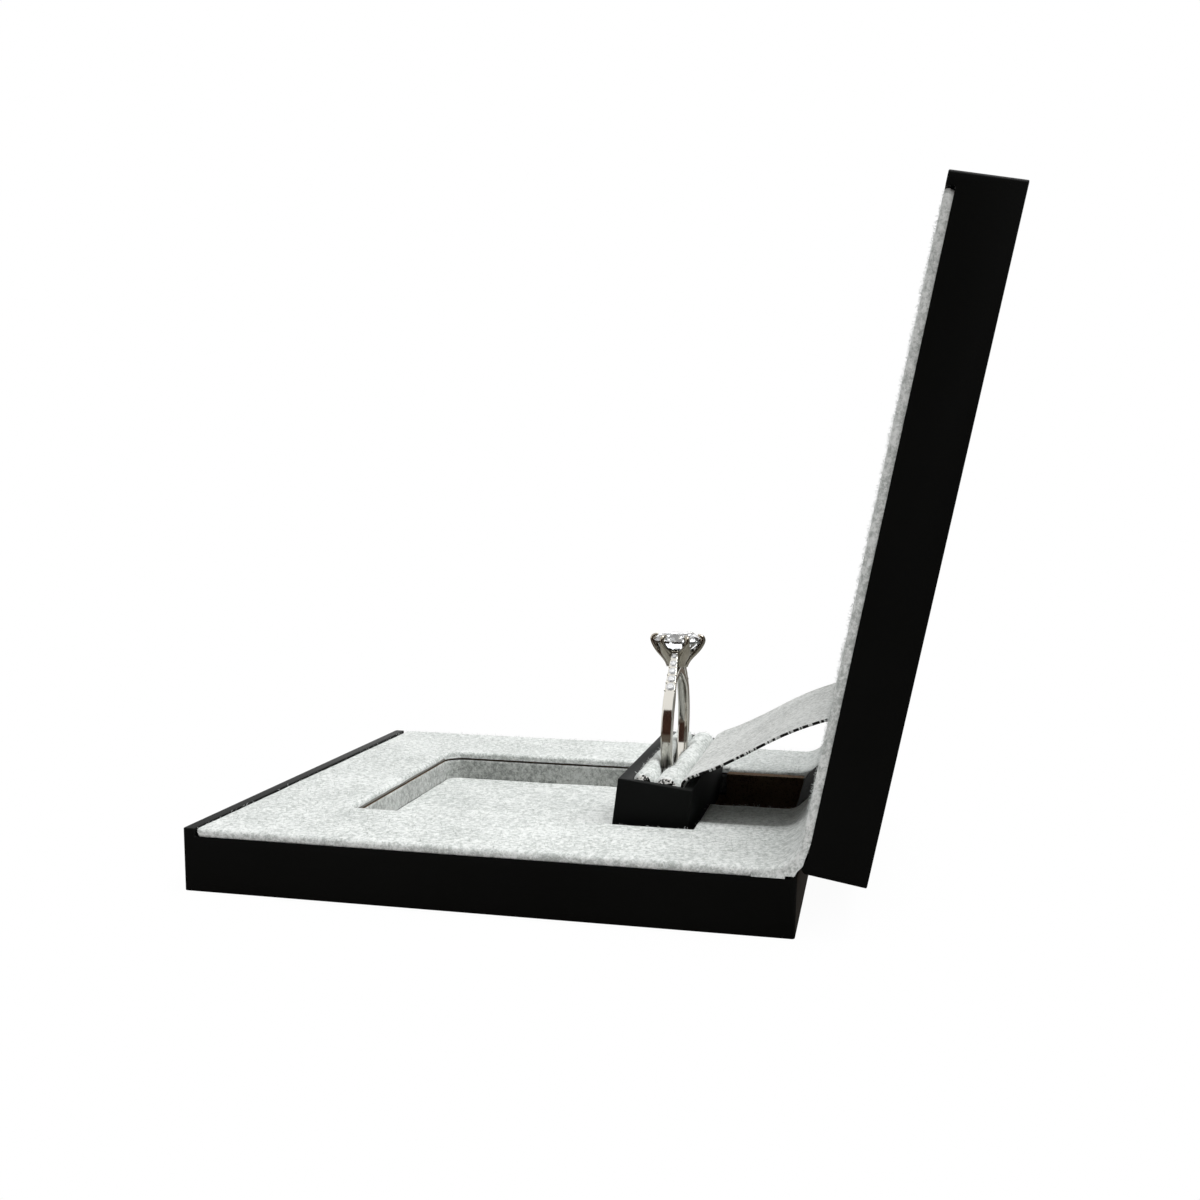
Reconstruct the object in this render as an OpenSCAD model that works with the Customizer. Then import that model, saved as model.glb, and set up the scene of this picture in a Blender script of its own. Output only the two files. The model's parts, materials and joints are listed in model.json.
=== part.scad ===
// Slim square ring display box. The lid opens past upright, and the ring
// holder stands up out of the pocket as the lid swings back.
// Units are millimetres. The box rests on Z = 0, centred on X = Y = 0,
// with its front lip towards -Y and its hinge towards +Y.

/* [Box halves] */
// Width of both halves
box_w = 84; // [80:1:94]
// Depth of both halves, front to back
box_d = 84; // [82:1:94]
// Height of each half
half_h = 9; // [9:0.25:10.5]
// Thickness of the flat outer walls
floor_t = 1.2; // [1:0.1:1.2]
// Thickness of the upright walls and of the front lip
wall_t = 1.7; // [1.5:0.1:2]
// Radius of the upright outer corners
corner_r = 0.4; // [0.2:0.1:0.8]
// Height by which the side walls stop below the parting plane
side_drop = 1.2; // [1.1:0.1:1.4]
// Height by which the back wall stops below the parting plane
back_drop = 0.7; // [0.65:0.05:0.9]
// Bevel on the outer edge of the back wall
back_bevel = 0.5; // [0.3:0.1:0.6]
// Gap that each lip leaves to the parting plane
part_gap = 0.05; // [0.05:0.01:0.1]

/* [Hinge] */
// Angle of the open lid
open_angle = 99.6; // [92:0.2:102]
// Distance of the hinge axis in front of the back face
axis_inset = 0.3; // [0.2:0.05:0.4]
// Radius of the knuckles
knuckle_r = 1.1; // [1:0.05:1.1]
// Number of knuckles
knuckle_count = 5; // [3:2:7]
// Gap between neighbouring knuckles
knuckle_gap = 0.15; // [0.1:0.05:0.2]
// Radius of the hinge pin
hinge_pin_r = 0.6; // [0.5:0.05:0.65]
// Thickness of the hinge leaves
leaf_t = 0.5; // [0.4:0.05:0.5]
// Height of the part of a leaf that lies against the back wall
leaf_h = 5.6; // [5:0.1:5.8]
// Sideways distance of the rivets from the middle
rivet_x = 12; // [10:0.5:13]
// Radius of the rivet shanks
rivet_r = 0.6; // [0.5:0.05:0.7]
// Depth to which a rivet goes into the back wall
rivet_depth = 1; // [0.8:0.1:1.1]

/* [Pads and pockets] */
// Thickness of the felt
felt_t = 0.6; // [0.5:0.05:0.65]
// Depth of the pocket below the pad in the base
pocket_depth = 4.75; // [4.6:0.05:5]
// Clear width between each end of the holder and the pocket's wall
holder_play = 1.7; // [1.6:0.05:2.5]
// Distance from the front face to the pockets
pocket_front = 17.8; // [14:0.1:19]
// Radius of the pockets' front corners
pocket_r = 2.5; // [1.5:0.1:4]
// Distance from the hinge axis forward to the shoulders of the pad
shoulder_from_axis = 15.4; // [15:0.1:15.5]
// Distance from the hinge axis forward to the pocket in the lid
lid_pocket_from_axis = 22.5; // [22:0.1:22.6]
// Distance from each end of the holder in to the side of the well
well_inset = 2.7; // [2:0.1:3.1]
// Distance from the hinge axis forward to the back edge of the pads
pad_from_axis = 2.3; // [2.2:0.05:2.5]
// Distance from the middle to the free edge of the felt flap over the well
flap_edge_x = 5; // [2:0.5:12]
// Radius of the fold where the lining crosses the hinge
fold_r = 1.8; // [1.5:0.1:2]
// Thickness of the lining that crosses the hinge
lining_t = 0.55; // [0.4:0.05:0.55]
// Radius of the pads' soft outer edges
pad_edge_r = 0.55; // [0.3:0.05:0.6]

/* [Ring holder] */
// Width of the holder
block_w = 43; // [41:0.2:45.4]
// Depth of the holder, front to back
block_d = 10.8; // [10.4:0.1:10.8]
// Height of the holder
block_h = 10.5; // [10:0.1:11]
// Thickness of the holder's end and rear walls
block_wall = 1.4; // [1.2:0.1:1.5]
// Thickness of the holder's front wall
block_front_wall = 2; // [1.4:0.1:2.2]
// Thickness of the holder's floor
block_floor = 1.2; // [1:0.1:1.6]
// Angle by which the standing holder leans back
lean = 6.5; // [5:0.5:8]
// Distance from the hinge axis forward to the holder's pivot
pivot_from_axis = 26.5; // [26:0.1:26.6]
// Height of the holder's pivot above the resting plane
pivot_z = 5.75; // [5.7:0.05:5.9]
// Distance of the pivot from the holder's front and bottom faces
pivot_inset = 1.2; // [1.1:0.05:1.3]
// Radius of the pivot pins
pivot_pin_r = 0.6; // [0.5:0.05:0.65]
// Thickness of the pivot bracket's sheet
bracket_t = 0.8; // [0.6:0.05:0.8]
// Front to back size of the pivot bracket
bracket_d = 6; // [5:0.5:7]
// Height by which the rolls stand above the holder's rim
roll_rise = 0.6; // [0.2:0.1:0.9]
// Distance from the holder's front face to the slot between the rolls
slot_from_front = 5; // [4.9:0.05:5.3]

/* [Pull strap] */
// Width of the strap
strap_w = 39.6; // [36:0.2:40]
// Thickness of the strap
strap_t = 0.5; // [0.3:0.05:0.5]
// Distance behind the holder at which the strap bends over
strap_reach = 2.1; // [1.6:0.1:3]
// Height above the holder's rim at which the strap bends over
strap_rise = 3.1; // [2.4:0.1:4]
// Distance along the open lid from the hinge axis to the strap
strap_up_lid = 16; // [14:0.1:18]
// Width of the plate that holds the strap in the lid
anchor_d = 4; // [3:0.5:5]

/* [Magnets] */
// Radius of the closing magnets
magnet_r = 2.5; // [1.5:0.25:3]
// Thickness of the closing magnets
magnet_t = 1.5; // [1:0.1:2]
// Sideways distance of the magnets from the middle
magnet_x = 30; // [24:0.5:34]
// Distance of the magnets from the front face
magnet_from_front = 6; // [5:0.5:9]

/* [Ring] */
// Inner diameter of the ring
finger_d = 17.2; // [15.5:0.1:17.6]
// Thickness of the ring band
band_t = 1.5; // [1.2:0.1:1.8]
// Width of the ring band
band_w = 1.75; // [1.5:0.05:1.9]
// Depth to which the band stands in the slot
ring_sink = 5.5; // [4.5:0.1:6]
// Turn of the ring about its upright axis
ring_turn = 0.5; // [0:0.5:3]
// Diameter of the centre stone
stone_d = 7.6; // [6.5:0.1:8.2]
// Height of the setting above the band
setting_h = 4.8; // [4.4:0.1:5.2]
// Number of prongs
prong_count = 6; // [4:1:6]
// Radius of a prong
prong_r = 0.42; // [0.35:0.01:0.5]
// Number of small stones on each shoulder
shoulder_count = 6; // [3:1:7]
// Diameter of a shoulder stone
shoulder_d = 1.2; // [0.9:0.05:1.3]

/* [Hidden] */

$fn = 64;
// Cuts run past the faces they open by this much.
over = 1;
// Free space between pieces that are laid into each other.
fit_gap = 0.1;
// Running clearance on the radius of a pin.
pin_gap = 0.05;

black = "#161817";
felt_grey = "#c9ccc9";
card_grey = "#8a8a86";
foam_black = "#1d1b19";
suede_grey = "#b9bbb8";
steel_grey = "#8f9294";
white_gold = "#d9d6cf";
stone_white = "#eef4fa";

// Inner faces of the upright walls
inner_w = box_w - 2 * wall_t;
inner_d = box_d - 2 * wall_t;
side_h = half_h - side_drop;
back_h = half_h - back_drop;
hinge_y = box_d / 2 - axis_inset;

// The pocket and the well follow the holder, and the hinge sits in the well.
pocket_w = block_w + 2 * holder_play;
well_half_w = block_w / 2 - well_inset;
hinge_w = 2 * well_half_w - 20 * fit_gap;

// Pad: a board under felt, lying on the side walls and on the insert
pad_top = half_h - part_gap;
pad_board_t = pad_top - side_h - felt_t;
pad_front = -inner_d / 2 + 2.5 * fit_gap;
pad_back = hinge_y - pad_from_axis;
pocket_y0 = -box_d / 2 + pocket_front;
shoulder_y = hinge_y - shoulder_from_axis;
lid_pocket_y1 = hinge_y - lid_pocket_from_axis;
flap_t = felt_t;

// The insert stops short of the hinge leaf and its rivet heads.
insert_back = inner_d / 2 - 2 * leaf_t - 1.5 * fit_gap;
pocket_floor_z = pad_top - pocket_depth;
card_t = 0.6;
pivot_y = hinge_y - pivot_from_axis;
// Rounding of the bracket's ears about the pivot, and the room around them
ear_r = pivot_inset + 0.3;
ear_gap = 0.25;
well_front = pivot_y - ear_r - 0.4;
// Length of the bracket's rivets in the floor, and height of their heads
foot_rivet_l = 0.8;
foot_head_h = 0.4;
foot_rivet_y = pivot_y - ear_r + bracket_d / 2;

// Holder, in its own frame: the pivot is the origin, the front face is at
// -pivot_inset along Y and the bottom at -pivot_inset along Z.
block_back = block_d - pivot_inset;
block_top = block_h - pivot_inset;
cavity_front = block_front_wall - pivot_inset;
cavity_back = block_back - block_wall;
cavity_floor = block_floor - pivot_inset;
roll_w = block_w - 2 * block_wall - 2 * fit_gap;
slot_y = slot_from_front - pivot_inset;
strap_seat = strap_t + fit_gap;
front_roll_0 = cavity_front + fit_gap / 2;
front_roll_1 = slot_y - fit_gap;
rear_roll_0 = slot_y + fit_gap;
rear_roll_1 = cavity_back - strap_seat;

// Ring, upright in the slot
ring_mean_r = finger_d / 2 + band_t / 2;
ring_outer_r = finger_d / 2 + band_t;
rim_mid = holder_to_box([slot_y, block_top]);
ring_y = rim_mid[0];
ring_z = rim_mid[1] - ring_sink + ring_outer_r;
// The slot takes the turned band and leaves a little room.
slot_w = band_w * cos(ring_turn) + 2 * ring_outer_r * sin(ring_turn) + 2 * fit_gap;

// A point [y, z] of the standing holder's frame, in the box's frame.
function holder_to_box(p) = [
    pivot_y + p[0] * cos(lean) + p[1] * sin(lean),
    pivot_z - p[0] * sin(lean) + p[1] * cos(lean)
];
// A point [y, z] of the closed lid, where the open lid carries it.
function lid_to_box(p) = [
    hinge_y + (p[0] - hinge_y) * cos(open_angle) + (p[1] - half_h) * sin(open_angle),
    half_h - (p[0] - hinge_y) * sin(open_angle) + (p[1] - half_h) * cos(open_angle)
];
// Points of a cubic curve through a and d, bent by b and c.
function curve(a, b, c, d, steps) = [
    for (i = [0 : steps]) let (t = i / steps, s = 1 - t)
        s * s * s * a + 3 * s * s * t * b + 3 * s * t * t * c + t * t * t * d
];
function unit(v) = v / norm(v);
// Left-hand normal of a path at point i.
function side_of(path, i) =
    let (v = unit(path[min(i + 1, len(path) - 1)] - path[max(i - 1, 0)])) [-v[1], v[0]];
// Outline of a ribbon of thickness t along a path.
function ribbon(path, t) = concat(
    [for (i = [0 : len(path) - 1]) path[i] + side_of(path, i) * t / 2],
    [for (i = [len(path) - 1 : -1 : 0]) path[i] - side_of(path, i) * t / 2]
);

// ---------------------------------------------------------------- shared

module rounded_plan(w, d, r) {
    square([w - 2 * r, d], center = true);
    square([w, d - 2 * r], center = true);
    for (x = [-1, 1], y = [-1, 1])
        translate([x * (w / 2 - r), y * (d / 2 - r)]) circle(r);
}

// A box between two corners.
module block(a, b) {
    translate(a) cube(b - a);
}

// A [y, z] outline drawn out along X, centred.
module along_x(w) {
    rotate([90, 0, 90]) linear_extrude(w, center = true) children();
}

// Carries what is drawn in the closed lid to the open lid.
module open_lid() {
    translate([0, hinge_y, half_h]) rotate([-open_angle, 0, 0])
        translate([0, -hinge_y, -half_h]) children();
}

// Turns what is drawn for the base over into the closed lid.
module turn_over() {
    translate([0, 0, 2 * half_h]) mirror([0, 0, 1]) children();
}

// Carries what is drawn in the holder's frame to the standing holder.
module stand_up() {
    translate([0, pivot_y, pivot_z]) rotate([-lean, 0, 0]) children();
}

// Carries what is drawn in the upright ring's frame to its place.
module seat_ring() {
    translate([0, ring_y, ring_z]) rotate([0, 0, ring_turn]) children();
}

// ---------------------------------------------------------------- shells

// One half of the box: a flat tray with a high front lip.
module half_shell() {
    difference() {
        linear_extrude(half_h - part_gap)
            rounded_plan(box_w, box_d, corner_r);
        block([-inner_w / 2, -inner_d / 2, floor_t], [inner_w / 2, inner_d / 2, half_h + over]);
        // The side walls stop below the lip, and the pad covers them.
        block([-box_w, -inner_d / 2, side_h], [box_w, inner_d / 2, half_h + over]);
        block([-box_w, inner_d / 2 - over, back_h], [box_w, box_d, half_h + over]);
        // Bevel that lets the two halves swing past each other.
        along_x(2 * box_w) polygon([
            [box_d / 2 - back_bevel, back_h], [box_d / 2 + over, back_h - back_bevel - over],
            [box_d / 2 + over, half_h + over], [box_d / 2 - back_bevel, half_h + over]
        ]);
        // Seat of the hinge on the back wall.
        block([-hinge_w / 2 - fit_gap, inner_d / 2 - over, side_h],
              [hinge_w / 2 + fit_gap, box_d, half_h + over]);
        for (x = [-rivet_x, rivet_x])
            translate([x, inner_d / 2 - over, side_h - leaf_h / 2]) rotate([-90, 0, 0])
                cylinder(r = rivet_r, h = rivet_depth + over);
    }
}

module base_shell() {
    color(black) difference() {
        half_shell();
        for (x = [-1, 1])
            translate([x * block_w / 3, foot_rivet_y, floor_t - foot_rivet_l])
                cylinder(r = rivet_r, h = floor_t);
    }
}

module lid_shell() {
    color(black) open_lid() turn_over() half_shell();
}

// ---------------------------------------------------------------- inserts

// Plan of a pocket from its front edge back to y1, grown by g.
module pocket_plan(y1, g = 0) {
    r = pocket_r + g;
    w = pocket_w + 2 * g;
    y0 = pocket_y0 - g;
    translate([-w / 2, y0 + r]) square([w, y1 + g - y0 - r]);
    translate([-w / 2 + r, y0]) square([w - 2 * r, 2 * r]);
    for (x = [-1, 1]) translate([x * (w / 2 - r), y0 + r]) circle(r);
}

// Bores for the magnets, opening at height z.
module magnet_bores(z) {
    for (x = [-magnet_x, magnet_x])
        translate([x, -box_d / 2 + magnet_from_front, z - magnet_t])
            cylinder(r = magnet_r, h = magnet_t + over);
}

module base_insert() {
    color(foam_black) difference() {
        block([-inner_w / 2 + fit_gap, -inner_d / 2 + fit_gap, floor_t],
              [inner_w / 2 - fit_gap, inner_d / 2 - fit_gap, side_h]);
        // Pocket, with a floor in front of the holder only
        translate([0, 0, pocket_floor_z - felt_t - card_t]) linear_extrude(half_h)
            pocket_plan(shoulder_y, felt_t);
        block([-pocket_w / 2 - felt_t, well_front, 0],
              [pocket_w / 2 + felt_t, shoulder_y + felt_t, half_h]);
        // Well behind the holder, and room for the hinge leaf
        block([-well_half_w, shoulder_y, 0], [flap_edge_x, box_d, half_h]);
        block([-well_half_w, insert_back, 0], [well_half_w, box_d, half_h]);
        magnet_bores(side_h);
    }
}

module lid_insert() {
    color(foam_black) open_lid() turn_over() difference() {
        block([-inner_w / 2 + fit_gap, -inner_d / 2 + fit_gap, floor_t],
              [inner_w / 2 - fit_gap, inner_d / 2 - fit_gap, side_h]);
        linear_extrude(half_h) pocket_plan(lid_pocket_y1, felt_t);
        block([-well_half_w, insert_back, 0], [well_half_w, box_d, half_h]);
        magnet_bores(side_h);
    }
}

module magnet_pair() {
    for (x = [-magnet_x, magnet_x])
        translate([x, -box_d / 2 + magnet_from_front, side_h - magnet_t])
            cylinder(r = magnet_r, h = magnet_t);
}

module base_magnets() {
    color(steel_grey) magnet_pair();
}

module lid_magnets() {
    color(steel_grey) open_lid() turn_over() magnet_pair();
}

// ---------------------------------------------------------------- pads

// Pad outline seen from the front: flat below, soft edges above.
module pad_front_view(w, t, r) {
    translate([-w / 2, 0]) square([w, t - r]);
    translate([-w / 2 + r, 0]) square([w - 2 * r, t]);
    for (x = [-1, 1]) translate([x * (w / 2 - r), t - r]) circle(r);
}

// Pad outline seen from the side, from y0 to y1.
module pad_side_view(y0, y1, t, r) {
    translate([y0, 0]) square([y1 - y0, t - r]);
    translate([y0 + r, 0]) square([y1 - y0 - r, t]);
    translate([y0 + r, t - r]) circle(r);
}

// Solid pad with soft side and front edges.
module pad_body(w, y0, y1, t, r) {
    intersection() {
        rotate([90, 0, 0]) linear_extrude(2 * box_d, center = true) pad_front_view(w, t, r);
        along_x(2 * box_w) pad_side_view(y0, y1, t, r);
    }
}

// What the base's pad leaves open, grown by g.
module base_window(g = 0) {
    pocket_plan(shoulder_y, g);
    translate([-well_half_w - g, shoulder_y - over])
        square([2 * well_half_w + 2 * g, box_d]);
}

module base_pad_board() {
    color(card_grey) translate([0, 0, side_h]) linear_extrude(pad_board_t) difference() {
        translate([-box_w / 2 + felt_t, pad_front + felt_t])
            square([box_w - 2 * felt_t, pad_back - pad_front - felt_t]);
        base_window(felt_t);
    }
}

module base_pad_felt() {
    color(felt_grey) difference() {
        translate([0, 0, side_h])
            pad_body(box_w, pad_front, pad_back, pad_top - side_h, pad_edge_r);
        translate([0, 0, side_h - over]) linear_extrude(pad_board_t + over) difference() {
            translate([-box_w / 2 + felt_t, pad_front + felt_t])
                square([box_w - 2 * felt_t, pad_back - pad_front]);
            base_window(felt_t);
        }
        translate([0, 0, side_h - over]) linear_extrude(half_h) base_window();
    }
}

module lid_pad_board() {
    color(card_grey) open_lid() turn_over() translate([0, 0, side_h])
        linear_extrude(pad_board_t) difference() {
            translate([-box_w / 2 + felt_t, pad_front + felt_t])
                square([box_w - 2 * felt_t, pad_back - pad_front - felt_t]);
            pocket_plan(lid_pocket_y1, felt_t);
            strap_slit(anchor_d + 2 * fit_gap, strap_w + 2 * fit_gap);
        }
}

module lid_pad_felt() {
    color(felt_grey) open_lid() turn_over() difference() {
        translate([0, 0, side_h])
            pad_body(box_w, pad_front, pad_back, pad_top - side_h, pad_edge_r);
        translate([0, 0, side_h - over]) linear_extrude(pad_board_t + over) difference() {
            translate([-box_w / 2 + felt_t, pad_front + felt_t])
                square([box_w - 2 * felt_t, pad_back - pad_front]);
            pocket_plan(lid_pocket_y1, felt_t);
        }
        translate([0, 0, side_h - over]) linear_extrude(half_h) pocket_plan(lid_pocket_y1);
        translate([0, 0, side_h]) linear_extrude(half_h)
            strap_slit(3 * strap_t, strap_w + 2 * fit_gap);
    }
}

// Slit in the lid's pad where the strap goes in.
module strap_slit(d, w) {
    translate([0, hinge_y - strap_up_lid]) square([w, d], center = true);
}

// Felt that stands on the pocket's front and side walls, up to y1.
module wall_felt(y1, z0, back_wall) {
    translate([0, 0, z0]) linear_extrude(side_h - z0) difference() {
        pocket_plan(y1, felt_t);
        pocket_plan(back_wall ? y1 : y1 + 2 * felt_t);
    }
}

module pocket_floor_card() {
    color(card_grey) translate([0, 0, pocket_floor_z - felt_t - card_t])
        linear_extrude(card_t) pocket_plan(well_front - felt_t, felt_t - fit_gap);
}

module pocket_floor_felt() {
    color(felt_grey) translate([0, 0, pocket_floor_z - felt_t])
        linear_extrude(felt_t) pocket_plan(well_front - felt_t, felt_t - fit_gap);
}

module pocket_wall_felt() {
    color(felt_grey) wall_felt(shoulder_y - felt_t, pocket_floor_z, false);
}

module well_flap_felt() {
    color(felt_grey) translate([0, 0, side_h])
        block([flap_edge_x, shoulder_y + fit_gap, 0],
              [well_half_w - fit_gap, insert_back, flap_t]);
}

module lid_pocket_felt() {
    color(felt_grey) open_lid() turn_over() translate([0, 0, floor_t])
        linear_extrude(felt_t / 2) pocket_plan(lid_pocket_y1, felt_t - fit_gap);
}

module lid_pocket_wall_felt() {
    color(felt_grey) open_lid() turn_over()
        wall_felt(lid_pocket_y1, floor_t + felt_t / 2, true);
}

// ---------------------------------------------------------------- hinge

knuckle_w = hinge_w / knuckle_count;

// Barrels of the knuckles whose number has the given remainder by 2.
module knuckles(odd) {
    for (i = [0 : knuckle_count - 1]) if (i % 2 == odd)
        translate([-hinge_w / 2 + i * knuckle_w + knuckle_gap / 2, hinge_y, half_h])
            rotate([0, 90, 0]) cylinder(r = knuckle_r, h = knuckle_w - knuckle_gap);
}

// Tabs that carry those knuckles over the back wall.
module knuckle_tabs(odd) {
    for (i = [0 : knuckle_count - 1]) if (i % 2 == odd) {
        x0 = -hinge_w / 2 + i * knuckle_w + knuckle_gap / 2;
        block([x0, inner_d / 2 - leaf_t, side_h],
              [x0 + knuckle_w - knuckle_gap, hinge_y, side_h + leaf_t]);
    }
}

// One leaf in the base's place: a plate on the back wall's inner face.
module leaf(odd) {
    difference() {
        union() {
            block([-hinge_w / 2, inner_d / 2 - leaf_t, side_h - leaf_h],
                  [hinge_w / 2, inner_d / 2, side_h]);
            knuckle_tabs(odd);
            knuckles(odd);
        }
        translate([-hinge_w, hinge_y, half_h]) rotate([0, 90, 0])
            cylinder(r = hinge_pin_r + pin_gap, h = 2 * hinge_w);
        for (x = [-rivet_x, rivet_x])
            translate([x, inner_d / 2 + over, side_h - leaf_h / 2]) rotate([90, 0, 0])
                cylinder(r = rivet_r, h = 2 * over + leaf_t);
    }
}

module leaf_rivets() {
    for (x = [-rivet_x, rivet_x])
        translate([x, inner_d / 2 - leaf_t, side_h - leaf_h / 2]) {
            rotate([-90, 0, 0]) cylinder(r = rivet_r, h = leaf_t + rivet_depth);
            rotate([90, 0, 0]) cylinder(r1 = 1.8 * rivet_r, r2 = 1.2 * rivet_r, h = leaf_t);
        }
}

module base_hinge_leaf() {
    color(steel_grey) leaf(0);
}

module lid_hinge_leaf() {
    color(steel_grey) open_lid() turn_over() leaf(1);
}

module base_hinge_rivets() {
    color(steel_grey) leaf_rivets();
}

module lid_hinge_rivets() {
    color(steel_grey) open_lid() turn_over() leaf_rivets();
}

module hinge_pin() {
    color(steel_grey) translate([-hinge_w / 2, hinge_y, half_h]) rotate([0, 90, 0])
        cylinder(r = hinge_pin_r, h = hinge_w);
}

// Middle of the fold where the lining turns up from the base to the lid.
fold_z = pad_top + fold_r;
fold_y = hinge_y + (part_gap - fold_r - (fold_z - half_h) * cos(open_angle)) / sin(open_angle);

// Points of the fold at radius r.
function fold_arc(r, steps = 16) = [
    for (i = [0 : steps]) let (a = -90 + i * (180 - open_angle) / steps)
        [fold_y + r * cos(a), fold_z + r * sin(a)]
];

module hinge_lining() {
    lid_end = 2 * hinge_y - pad_back;
    color(felt_grey) for (x = [-1, 1])
        translate([x * (box_w / 2 + well_half_w) / 2, 0, 0])
            along_x(box_w / 2 - well_half_w) polygon(concat(
                [[pad_back, pad_top]],
                fold_arc(fold_r),
                [lid_to_box([pad_back, half_h + part_gap]),
                 lid_to_box([pad_back, half_h + part_gap + lining_t])],
                [for (i = [16 : -1 : 0]) fold_arc(fold_r + lining_t)[i]],
                [[pad_back, pad_top - lining_t]]
            ));
}

// ---------------------------------------------------------------- holder

// A padded roll: straight sides, round top, from y0 to y1.
module roll_outline(y0, y1, top) {
    r = (y1 - y0) / 2;
    translate([y0, cavity_floor]) square([2 * r, top - r - cavity_floor]);
    translate([y0 + r, top - r]) circle(r);
}

// Slot that the upright ring opens between the rolls.
module ring_slot() {
    translate([0, slot_y, block_top]) rotate([lean, 0, 0])
        block([-ring_outer_r - fit_gap, -slot_w / 2, -ring_sink - 2 * fit_gap],
              [ring_outer_r + fit_gap, slot_w / 2, block_h]);
}

module roll_foam(y0, y1) {
    difference() {
        along_x(roll_w) roll_outline(y0 + felt_t, y1 - felt_t, block_top + roll_rise - felt_t);
        ring_slot();
    }
}

module roll_felt(y0, y1) {
    difference() {
        along_x(roll_w) difference() {
            roll_outline(y0, y1, block_top + roll_rise);
            roll_outline(y0 + felt_t, y1 - felt_t, block_top + roll_rise - felt_t);
        }
        ring_slot();
    }
}

module front_roll_foam() {
    color(card_grey) stand_up() roll_foam(front_roll_0, front_roll_1);
}

module front_roll_felt() {
    color(felt_grey) stand_up() roll_felt(front_roll_0, front_roll_1);
}

module rear_roll_foam() {
    color(card_grey) stand_up() roll_foam(rear_roll_0, rear_roll_1);
}

module rear_roll_felt() {
    color(felt_grey) stand_up() roll_felt(rear_roll_0, rear_roll_1);
}

module holder_box() {
    color(black) stand_up() difference() {
        block([-block_w / 2, -pivot_inset, -pivot_inset], [block_w / 2, block_back, block_top]);
        block([-block_w / 2 + block_wall, cavity_front, cavity_floor],
              [block_w / 2 - block_wall, cavity_back, block_top + over]);
        // Bores for the pivot pins, and a round corner about them
        rotate([0, 90, 0]) cylinder(r = pivot_pin_r, h = 2 * block_w, center = true);
        along_x(2 * block_w) difference() {
            translate([-pivot_inset - over, -pivot_inset - over])
                square(pivot_inset + over);
            circle(pivot_inset);
        }
    }
}

module pivot_pins() {
    pin_end = block_w / 2 + 1.6 * bracket_t;
    color(steel_grey) translate([0, pivot_y, pivot_z]) for (x = [-1, 1])
        mirror([x < 0 ? 1 : 0, 0, 0])
            translate([block_w / 2 - block_wall, 0, 0]) rotate([0, 90, 0])
                cylinder(r = pivot_pin_r, h = pin_end - block_w / 2 + block_wall);
}

// Sheet-metal bracket: a foot on the floor and an ear at each end.
module pivot_bracket() {
    ear_x = block_w / 2 + ear_gap;
    foot_y0 = pivot_y - ear_r;
    color(steel_grey) difference() {
        union() {
            block([-ear_x - bracket_t, foot_y0, floor_t],
                  [ear_x + bracket_t, foot_y0 + bracket_d, floor_t + bracket_t]);
            for (x = [-1, 1]) translate([x * (ear_x + bracket_t / 2), 0, 0]) along_x(bracket_t) {
                translate([foot_y0, floor_t]) square([2 * ear_r, pivot_z - floor_t]);
                translate([pivot_y, pivot_z]) circle(ear_r);
            }
        }
        translate([0, pivot_y, pivot_z]) rotate([0, 90, 0])
            cylinder(r = pivot_pin_r + pin_gap, h = 2 * block_w, center = true);
        for (x = [-1, 1]) translate([x * block_w / 3, foot_rivet_y, 0])
            cylinder(r = rivet_r, h = half_h);
    }
}

module bracket_rivets() {
    color(steel_grey) for (x = [-1, 1])
        translate([x * block_w / 3, foot_rivet_y, floor_t - foot_rivet_l]) {
            cylinder(r = rivet_r, h = foot_rivet_l + bracket_t);
            translate([0, 0, foot_rivet_l + bracket_t])
                cylinder(r1 = 1.8 * rivet_r, r2 = 1.2 * rivet_r, h = foot_head_h);
        }
}

// ---------------------------------------------------------------- strap

// The strap stands between the rear roll and the holder's back wall, bends
// over the rim and runs up to the slit in the lid's pad.
strap_in = cavity_back - strap_seat / 2;
strap_root = holder_to_box([strap_in, cavity_floor + fit_gap]);
strap_exit = holder_to_box([strap_in, block_top + 2 * fit_gap]);
strap_bend = holder_to_box([block_back + strap_reach, block_top + strap_rise]);
strap_lid = lid_to_box([hinge_y - strap_up_lid, half_h + part_gap]);
strap_end = lid_to_box([hinge_y - strap_up_lid, half_h + part_gap + felt_t]);
strap_span = norm(strap_lid - strap_bend);
holder_up = [sin(lean), cos(lean)];
// Directions of the strap where it bends over and where it meets the lid
bend_way = [cos(26), sin(26)];
meet_way = [cos(18), sin(18)];
strap_path = concat(
    [strap_root],
    curve(strap_exit, strap_exit + 0.35 * strap_rise * holder_up,
        strap_bend - 0.6 * strap_rise * bend_way, strap_bend, 10),
    [for (i = [1 : 14]) curve(strap_bend, strap_bend + 0.35 * strap_span * bend_way,
        strap_lid - 0.35 * strap_span * meet_way, strap_lid, 14)[i]],
    [strap_end]
);

module pull_strap() {
    color(suede_grey) along_x(strap_w) polygon(ribbon(strap_path, strap_t));
}

// Plate behind the felt that holds the end of the strap in the lid.
module strap_anchor() {
    color(card_grey) open_lid() turn_over() translate([0, 0, side_h])
        linear_extrude(pad_board_t - fit_gap) strap_slit(anchor_d, strap_w);
}

// ---------------------------------------------------------------- ring

// Polar angles of the shoulder stones, from the top of the ring.
shoulder_step = 1.12 * shoulder_d / ring_outer_r * 180 / PI;
shoulder_angles = [for (i = [0 : shoulder_count - 1]) 21 + i * shoulder_step];
stone_seat = 0.4;

// Places its children on the band's outside, X-Z plane, at each small stone.
module on_shoulders() {
    for (s = [-1, 1], a = shoulder_angles)
        rotate([0, s * a, 0]) translate([0, 0, ring_outer_r]) children();
}

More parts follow.
